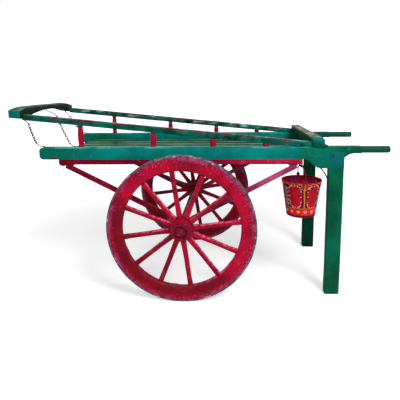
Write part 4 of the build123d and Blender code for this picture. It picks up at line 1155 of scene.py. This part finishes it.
def shape_spindles(side_name, side):
    """Bobbin spindles between the beam and the rail, with a bead at each end."""
    bm = bmesh.new()
    for station in SPINDLE_STATIONS:
        foot = Vector((AXLE_X + station, side * BEAM_MIDDLE, BEAM_TOP - 0.001))
        height = rail_top(station) - RAIL_DEPTH + 0.003 - foot.z
        outline = [(0, 0), *((radius, share * height) for share, radius in SPINDLE_SHAPE), (0, height)]
        turned(bm, outline, foot, AXIS_Z, 32)
    make_lumpy(bm, 50)
    finish_side(bm, side_name, "turned_spindles", "root", RED_TURNED, "spindles", 40)


# Ironwork: chains on their rods, leg stays, hook


def link_shape(inner):
    """One oval link of round wire, lying along X and flat in XY."""
    bm = bmesh.new()
    middle_radius = (LINK_WIDTH - LINK_WIRE) / 2
    ring = bmesh.ops.create_circle(
        bm, segments=8, radius=LINK_THICK / 2,
        matrix=Matrix.Translation((0, middle_radius, 0)) @ Matrix.Rotation(math.radians(90), 4, "Y"),
    )
    steps = 18
    for vert in ring["verts"]:
        vert.co = Matrix.Rotation(math.pi / steps, 3, "Z") @ vert.co
    spin_round(bm, [*bm.verts, *bm.edges], (0, 0, 0), AXIS_Z, steps)
    bmesh.ops.remove_doubles(bm, verts=bm.verts, dist=1e-7)
    stretch = inner / 2 + LINK_WIRE / 2 - middle_radius
    for vert in bm.verts:
        vert.co.x += math.copysign(stretch, vert.co.x)
    return to_mesh(bm, "link_shape")


def add_shape(bm, mesh, matrix):
    """Adds a copy of a shape to a bmesh, at a place and turn."""
    known = set(bm.verts)
    bm.from_mesh(mesh)
    bmesh.ops.transform(bm, matrix=matrix, verts=[v for v in bm.verts if v not in known])


def ring_of(centre, along, across, radius, count):
    """Points of a circle."""
    turns = (n * FULL_TURN / count for n in range(count))
    return [centre + (along * math.cos(t) + across * math.sin(t)) * radius for t in turns]


def shape_chain(name, top, low, head_rod, foot_rod):
    """A chain of oval links between an eyed rod under the tail bar and one in the bed."""
    bm = bmesh.new()
    first = top + Vector((head_rod[-1][0], 0, -head_rod[-1][1]))
    last = low + Vector((-foot_rod[-1][0], 0, foot_rod[-1][1] + ROD_LIE))
    control = (first + last) / 2 - AXIS_Z * 2 * CHAIN_SAG
    samples = [first.lerp(control, t / 200).lerp(control.lerp(last, t / 200), t / 200) for t in range(201)]
    reached = [0.0]
    for one, next_one in zip(samples, samples[1:]):
        reached.append(reached[-1] + (next_one - one).length)

    stretch = reached[-1] + LINK_WIRE - LINK_SEAT
    count = round(stretch / LINK_PITCH)
    inner = stretch / count - LINK_SEAT
    template = link_shape(inner)
    for number in range(count):
        distance = (inner - LINK_WIRE) / 2 + LINK_SEAT + number * stretch / count
        step = next((n for n, d in enumerate(reached) if d > distance), len(reached) - 1)
        before, after = samples[step - 1], samples[step]
        place = before.lerp(after, (distance - reached[step - 1]) / (reached[step] - reached[step - 1]))
        along = (after - before).normalized()
        across = AXIS_Y - along * along.dot(AXIS_Y)
        normal = across.normalized() if number % 2 == 0 else along.cross(across).normalized()
        normal = Matrix.Rotation(LINK_SWAY * noise.noise(place * 90), 3, along) @ normal
        lay = Matrix((along, normal.cross(along), normal)).transposed().to_4x4()
        add_shape(bm, template, Matrix.Translation(place) @ lay)

    for end, along, crossing, foot, way, rod, lie, lead, head in (
        (first, samples[1] - samples[0], 0, top, -1, head_rod, 0, ROD_LEAD, 0.009),
        (last, samples[-1] - samples[-2], count - 1, low, 1, foot_rod, ROD_LIE, ROD_LIE, 0.008),
    ):
        along.normalize()
        up = AXIS_Z * way
        across = (AXIS_Y - along * along.dot(AXIS_Y)).normalized()
        face = along.cross(across) if crossing % 2 == 0 else across
        ring = ring_of(end + along * way * EYE_RADIUS, along, face.cross(along), EYE_RADIUS, EYE_STEPS)
        round_bar(bm, ring, LINK_WIRE / 2, 8, closed=True)
        corners = [foot - up * 0.010, foot + up * lead]
        corners += [foot - AXIS_X * way * run + up * (rise + lie) for run, rise in rod[:-1]]
        corners.append(end + along * way * (2 * EYE_RADIUS))
        round_bar(bm, rounded_route(corners, ROD_BEND), ROD_WIRE / 2, 10)
        bolt_head(bm, foot - up * 0.0005, up, head, 0.0030, 12)
    finish_piece(bm, f"linked_{name}", "root", CHAIN_IRON, (name,), 50)


def hang_chains():
    """The three chains, on the rods and places that the source gives them."""
    bar_under = rail_top(CHAIN_TOP_X) - TAIL_BAR_GRIP
    for name, top_y, top_z, low_x, low_y, low_z, rods in (
        ("chain_left", -CHAIN_TOP_Y, bar_under, CHAIN_LOW_X, -BEAM_MIDDLE, BEAM_TOP, SIDE_RODS),
        ("chain_middle", 0.0, bar_under + ARCH_RISE, CHAIN_MIDDLE_X, 0.0, TAIL_BEARER_TOP, MIDDLE_RODS),
        ("chain_right", CHAIN_TOP_Y, bar_under, CHAIN_LOW_X, BEAM_MIDDLE, BEAM_TOP, SIDE_RODS),
    ):
        top = Vector((AXLE_X + CHAIN_TOP_X, top_y, top_z))
        shape_chain(name, top, Vector((AXLE_X + low_x, low_y, low_z)), *rods)


def shape_leg_stay(side_name, side):
    """The curved round stay from the knee to the leg."""
    y = side * (BED_HALF_WIDTH - LEG_THICK / 2)
    x = AXLE_X + STAY_START
    points = arc_points(
        Vector((x, y, STAY_KNEE_Z)), Vector((x + STAY_BULGE_RUN, y, STAY_KNEE_Z - STAY_BULGE_DROP)),
        Vector((AXLE_X + LEG_INNER + STAY_SEAT, y, STAY_KNEE_Z - STAY_FALL)), 18,
    )
    bm = bmesh.new()
    round_bar(bm, points, STAY_WIRE / 2, 12)
    finish_side(bm, side_name, "bent_leg_stay", "root", STAY_IRON, "leg_stay", 50)


def arc_points(first, through, last, count):
    """Points of the circular arc through three places in an upright plane along X."""
    ax, az, bx, bz, cx, cz = first.x, first.z, through.x, through.z, last.x, last.z
    twice_area = 2 * (ax * (bz - cz) + bx * (cz - az) + cx * (az - bz))
    a2, b2, c2 = ax * ax + az * az, bx * bx + bz * bz, cx * cx + cz * cz
    middle_x = (a2 * (bz - cz) + b2 * (cz - az) + c2 * (az - bz)) / twice_area
    middle_z = (a2 * (cx - bx) + b2 * (ax - cx) + c2 * (bx - ax)) / twice_area
    radius = math.hypot(ax - middle_x, az - middle_z)
    start = math.atan2(az - middle_z, ax - middle_x)
    swing = math.remainder(math.atan2(cz - middle_z, cx - middle_x) - start, FULL_TURN)
    turns = [start + swing * n / count for n in range(count + 1)]
    return [Vector((middle_x + radius * math.cos(t), first.y, middle_z + radius * math.sin(t))) for t in turns]


# Hook, bail and bucket


def shape_hook():
    """The round hook under the left sill, its tip drawn to a blunt point, on a small round plate."""
    bm = bmesh.new()
    back, front = (AXLE_X + BUCKET_X + way * HOOK_REACH / 2 for way in (-1, 1))
    corners = [
        Vector((x, HOOK_Y, z))
        for x, z in ((back, SILL_BOTTOM + 0.006), (back, SEAT_Z), (front, SEAT_Z), (front, SEAT_Z + HOOK_TIP))
    ]
    points = rounded_route(corners, HOOK_BEND, 8)
    round_bar(bm, points, lambda s: HOOK_WIRE / 2 * (1 - 0.45 * max(0, s - 0.86) / 0.14), 14)
    bolt_head(bm, Vector((back, HOOK_Y, SILL_BOTTOM + 0.0005)), -AXIS_Z, *HOOK_PLATE, 20)
    finish_piece(bm, "forged_bucket_hook", "root", CHAIN_IRON, ("bucket_hook",), 50)


def by_hook(out, z):
    """A place in the bail's plane, so far out from the hook."""
    return Vector((AXLE_X + BUCKET_X, HOOK_Y + out, z))


def shape_bail():
    """The arched wire bail, with a twisted eye on the hook and its ends turned in through the ears."""
    bm = bmesh.new()
    stand = RIM_RADIUS + EAR_THICK + BAIL_CLEAR
    inner = stand + BAIL_WIRE / 2 - (BAIL_CLEAR + EAR_THICK + 2 * BAIL_WIRE)
    for way in (-1, 1):
        corners = [by_hook(way * out, z) for out, z in (
            (inner, PIVOT_Z), (stand, PIVOT_Z), (stand, PIVOT_Z + BAIL_SHOULDER), (BAIL_CROWN_HALF, SEAT_Z),
            (BAIL_EYE_HALF, SEAT_Z),
        )]
        ends = rounded_route(corners[:3], 0.006, 5)[:-1]
        arch = rounded_route([ends[-1], *corners[2:]], BAIL_BEND, 8)[1:]
        round_bar(bm, ends + arch, BAIL_WIRE / 2, 12)
        bolt_head(bm, by_hook(way * (inner + 0.001), PIVOT_Z), AXIS_Y * -way, 0.0048, 0.003, 12)
    for shift in (-BAIL_EYE_SHIFT, BAIL_EYE_SHIFT):
        centre = by_hook(0, SEAT_Z) + AXIS_X * shift
        eye = ring_of(centre, AXIS_Y, AXIS_Z, HOOK_WIRE / 2 + 0.0003 + 0.0030, 24)
        round_bar(bm, eye, BAIL_EYE_WIRE / 2, 10, closed=True)
    finish_piece(bm, "arched_bucket_bail", "bail", BAIL_IRON, ("bucket_bail",), 50)


def bucket_radius(z):
    """Outer radius of the bucket's wall at a height."""
    return BASE_RADIUS + (RIM_RADIUS - BASE_RADIUS) * (z - BASE_Z) / (RIM_Z - BASE_Z)


def on_bucket(turn, z, proud=0.0):
    """A place on the bucket's wall. The turn is counted from the near ear, positive towards the handles."""
    radius = bucket_radius(z) + proud
    angle = turn - math.pi / 2
    return Vector((AXLE_X + BUCKET_X + radius * math.cos(angle), HOOK_Y + radius * math.sin(angle), z))


def shape_bucket():
    """The tapered shell with its hoops, rolled rim and foot ring."""
    bm = bmesh.new()
    wall = BUCKET_WALL
    floor_z = BASE_Z + 0.008
    outline = [(0, floor_z), (BASE_RADIUS - wall, floor_z), (BASE_RADIUS - wall, BASE_Z + 0.0008)]
    outline += [(BASE_RADIUS - wall / 2, BASE_Z), (BASE_RADIUS, BASE_Z + 0.0008)]
    outline += [(bucket_radius(z) + proud, z) for z, proud in BUCKET_WALL_LINE]
    for turn in (math.radians(-110 + number * 40) for number in range(9)):
        outline.append((RIM_RADIUS - 0.0005 + 0.0030 * math.cos(turn), RIM_Z - 0.0030 + 0.0030 * math.sin(turn)))
    outline += [(bucket_radius(z) - wall, z) for z in (RIM_Z - 0.012, floor_z + 0.006)]
    outline += [(bucket_radius(floor_z) - wall - 0.003, floor_z + wall), (0, floor_z + wall)]
    turned(bm, outline, by_hook(0, 0), AXIS_Z, 96)
    finish_piece(bm, "painted_bucket", "bucket", BUCKET_PAINT, ("bucket",), 40)


def shape_ears():
    """An eyed ear at each side, on a shield-shaped plate riveted under the rim."""
    bm = bmesh.new()
    bore, reach, thick = BAIL_WIRE / 2 + 0.0003, 0.012, EAR_THICK - 0.0004
    eye = (
        (bore, 0.0006), (bore + 0.0008, 0), (reach - 0.0015, 0), (reach, 0.0015), (reach, thick - 0.0015),
        (reach - 0.0015, thick), (bore + 0.0008, thick), (bore, thick - 0.0006),
    )
    for way, ear in ((-1, 0), (1, math.pi)):
        turned(bm, eye, by_hook(way * (RIM_RADIUS + 0.0002), PIVOT_Z), AXIS_Y * way, 28, closed=True)
        drawn_bar(bm, [
            (on_bucket(ear, RIM_Z - drop, proud), AXIS_X, AXIS_Y * way, half, 0.0018, 5.0)
            for drop, half, proud in EAR_PLATE
        ], 16)
        for drop in EAR_RIVET_DROPS:
            bolt_head(bm, on_bucket(ear, RIM_Z - drop, 0.0018), AXIS_Y * way, *EAR_RIVET, 12)
    finish_piece(bm, "riveted_ears", "bucket", EAR_RED, (), 35)


def brush_stroke(bm, turn, z, long, wide, lean, taper=0.5, thick=0.0005):
    """A raised stroke of paint on the bucket, long towards its lean, which is counted from upright."""
    made = bmesh.ops.create_circle(bm, cap_ends=True, segments=10, radius=1.0)
    top = bmesh.ops.extrude_face_region(bm, geom=[made["verts"][0].link_faces[0]])
    top_verts = [v for v in top["geom"] if isinstance(v, bmesh.types.BMVert)]
    radius = bucket_radius(z)
    for verts, narrow, proud in ((made["verts"], 1.0, -0.0004), (top_verts, 0.8, thick)):
        for vert in verts:
            up = vert.co.y * long / 2
            across = vert.co.x * wide / 2 * (1 - taper * vert.co.y) * narrow
            up_here = up * math.cos(lean) - across * math.sin(lean)
            round_here = up * math.sin(lean) + across * math.cos(lean)
            vert.co = on_bucket(turn + round_here / radius, z + up_here, proud)


def draw_gold(bm):
    """Wavy gold lines under the rim and over the band, round the ears' shields and between the panels."""
    turns = [n * FULL_TURN / 180 for n in range(180)]
    wave = [on_bucket(turn, GOLD_Z + 0.0035 * math.sin(turn * 18), 0.0004) for turn in turns]
    round_bar(bm, wave, 0.0021, 6, closed=True)
    low_ring = [on_bucket(n * FULL_TURN / 120, BAND_TOP + 0.0012 * math.sin(n * 0.9), 0.0003) for n in range(120)]
    round_bar(bm, low_ring, 0.0014, 6, closed=True)
    for ear in (0, math.pi):
        edge = []
        for way, rows in ((1, EAR_PLATE), (-1, EAR_PLATE[::-1])):
            for drop, half, _ in rows:
                z = RIM_Z - 0.0015 - drop * 1.04
                edge.append(on_bucket(ear + way * (half + 0.0025) / bucket_radius(z), z, 0.0010))
        round_bar(bm, edge, 0.0018, 6, closed=True)
    for gap in (n * FULL_TURN / PANEL_COUNT for n in range(0, PANEL_COUNT, 2)):
        line = [
            on_bucket(gap + 0.02 * math.sin(s * 7), BAND_TOP + (GOLD_Z - BAND_TOP) * s, 0.0006)
            for s in (n / 14 for n in range(15))
        ]
        round_bar(bm, line, lambda s: 0.0030 + 0.0022 * math.sin(math.pi * s), 8)


def rounded_square(turn):
    """Where a turn lands on a rounded square, from -1 to 1 each way."""
    return (math.copysign(abs(share) ** 0.62, share) for share in (math.cos(turn), math.sin(turn)))


def draw_sprigs(bm):
    """Leaves in pairs round a stem, up every gap between the panels that has no gold line."""
    for gap in (n * FULL_TURN / PANEL_COUNT for n in range(1, PANEL_COUNT, 2)):
        for z in (BAND_TOP + 0.022 + number * 0.026 for number in range(SPRIG_LEAVES)):
            for way in (-1, 1):
                brush_stroke(bm, gap + way * 0.055, z + 0.004, 0.024, 0.0085, way * math.radians(38), 0.45)
            brush_stroke(bm, gap, z - 0.006, 0.013, 0.0065, 0, 0.3)


def draw_petals(bm):
    """Petals laid by hand round each panel."""
    for panel in range(PANEL_COUNT):
        middle = (panel + 0.5) * FULL_TURN / PANEL_COUNT
        for number in range(PETAL_COUNT):
            round_turn = number * FULL_TURN / PETAL_COUNT
            sideways, upwards = rounded_square(round_turn)
            across = sideways * PANEL_HALF * (1 - 0.13 * math.cos(2 * round_turn) ** 2)
            up = upwards * PANEL_HIGH
            jitter = noise.noise(Vector((number * 3.7, panel * 5.1, 0.5)))
            brush_stroke(
                bm, middle + across + 0.03 * jitter, PANEL_Z + up + 0.004 * jitter, 0.0125 + 0.007 * jitter,
                0.0085 + 0.002 * jitter, -math.atan2(across * 0.11, up) + 1.6 * jitter, 0.35,
            )


def draw_flowers(bm, gold):
    """Small five-petal flowers with gold hearts, along the lower band."""
    z = (BAND_LOW + BAND_TOP) / 2
    for number in range(FLOWER_COUNT):
        turn = number * FULL_TURN / FLOWER_COUNT + 0.11
        for lean in (petal * FULL_TURN / 5 + number for petal in range(5)):
            aside = FLOWER_REACH * math.sin(lean) / bucket_radius(z)
            brush_stroke(bm, turn + aside, z + FLOWER_REACH * math.cos(lean), 0.0095, 0.0075, lean, -0.3)
        brush_stroke(gold, turn, z, 0.0062, 0.0062, 0, 0.0, 0.0011)


def paint_ornament():
    """Plain fairground-style brushwork: wavy gold lines, petals round six panels, leaves and small flowers."""
    gold, petals, leaves, flowers = bmesh.new(), bmesh.new(), bmesh.new(), bmesh.new()
    draw_gold(gold)
    draw_sprigs(leaves)
    draw_petals(petals)
    draw_flowers(flowers, gold)
    for bm, name, paint in (
        (gold, "gold_lines", GOLD_PAINT), (petals, "rose_petals", ROSE_PAINT), (leaves, "leaf_strokes", LEAF_PAINT),
        (flowers, "band_flowers", FLOWER_PAINT),
    ):
        finish_piece(bm, name, "bucket", paint, (), 50)


# Small fastenings


def nail_deck():
    """Two clenched nails through every board into every bearer."""
    bm = bmesh.new()
    low, high, pitch = board_pitch()
    for x in (sum(corner.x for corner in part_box(name)) / 2 for name in BEARERS):
        for board in range(BOARD_COUNT):
            for part in DECK_NAIL_SHARES:
                place = Vector((x, low.y + pitch * board + (pitch - BOARD_GAP) * part, high.z))
                place += Vector((noise.noise(place * 31), noise.noise(place * 47), 0)) * 0.006
                bolt_head(bm, place, AXIS_Z, *DECK_NAIL, 8)
    finish_piece(bm, "deck_nails", "root", CHAIN_IRON, (), 50)


def bolt_frame():
    """Bolts through the lapped legs, and the nuts and rivets of the axle stays."""
    painted, dark = bmesh.new(), bmesh.new()
    for _, side in SIDES:
        out = AXIS_Y * side
        for x, z, radius in LEG_BOLTS:
            bolt_head(painted, Vector((AXLE_X + x, side * BED_HALF_WIDTH, z)), out, radius, LEG_BOLT_HIGH)
        nut = Vector((AXLE_X + STAY_NUT_X, side * (BED_HALF_WIDTH - SILL_THICK / 2), SILL_BOTTOM - 0.009))
        square_nut(dark, nut, -AXIS_Z, STAY_NUT_WIDE, 0.003, 0.5)
        for x in STAY_RIVETS_X:
            bolt_head(dark, Vector((AXLE_X + x, side * (BED_HALF_WIDTH - 0.006), STAY_RIVET_Z)), out, *STAY_RIVET)
    finish_piece(painted, "leg_bolts", "root", BOLT_GREEN, (), 50)
    finish_piece(dark, "stay_nuts", "root", RED_IRON, (), 40)


dress_bed()
for shape_pair in (shape_wheel, shape_spindles):
    for side_name, side in SIDES:
        shape_pair(side_name, side)
hang_chains()
for side_name, side in SIDES:
    shape_leg_stay(side_name, side)
for shape in (shape_hook, shape_bail, shape_bucket, shape_ears, paint_ornament, nail_deck, bolt_frame):
    shape()


# --- Floor and light ------------------------------------------------------------------------


def lay_floor():
    """A plain pale floor, larger than any view of the barrow, lifted to white for the camera far out."""
    bm = bmesh.new()
    bmesh.ops.create_circle(bm, cap_ends=True, radius=FLOOR_RADIUS, segments=64)
    mesh = to_mesh(bm, "floor")
    material, shader, place = new_material("pale_floor")
    seen = node(place.tree, "LightPath", {}, "Is Camera Ray")
    grain = speckle(place, 1.5, 2.0).ramp(0.3, 0.7, FLOOR_TONE - 0.01, FLOOR_TONE)
    tone = node(place.tree, "CombineColor", {"Red": grain, "Green": grain, "Blue": grain})
    for name, value in (
        ("Base Color", tone), ("Roughness", 0.9), ("Specular IOR Level", 0.1), ("Emission Color", (1, 1, 1, 1)),
        ("Emission Strength", seen * place.vector("LENGTH").ramp(1.2, 5.0, FLOOR_LIFT, 1.0)),
    ):
        join(place.tree, shader[name], value)
    mesh.materials.append(material)
    floor = add_object("floor", mesh)


def light_sky():
    """An even white sky that lights softly, and that shows and mirrors as a white backdrop."""
    world = bpy.data.worlds.new("studio")
    world.use_nodes = True
    bpy.context.scene.world = world
    tree = world.node_tree
    seen = node(tree, "LightPath", {}, "Is Camera Ray")
    for ray in ("Is Glossy Ray", "Is Transmission Ray"):
        seen = seen.step("MAXIMUM", node(tree, "LightPath", {}, ray))
    background = tree.nodes["Background"].inputs
    background["Color"].default_value = (1, 1, 1, 1)
    join(tree, background["Strength"], seen.ramp(0.0, 1.0, SKY_LEVEL, 1.0))


def hang_lamp(name, place, size, watts):
    """A soft square lamp aimed at the middle of the barrow."""
    data = bpy.data.lights.new(name, "AREA")
    data.shape = "SQUARE"
    data.size = size
    data.energy = watts
    lamp = add_object(name, data)
    lamp.location = place
    lamp.rotation_mode = "QUATERNION"
    lamp.rotation_quaternion = ((cad_low + cad_high) / 2 - place).to_track_quat("-Z", "Y")


lay_floor()
light_sky()
hang_lamp("key", KEY_PLACE, KEY_SIZE, KEY_WATTS)
hang_lamp("fill", FILL_PLACE, FILL_SIZE, FILL_WATTS)
bpy.context.scene.view_settings.view_transform = "Standard"
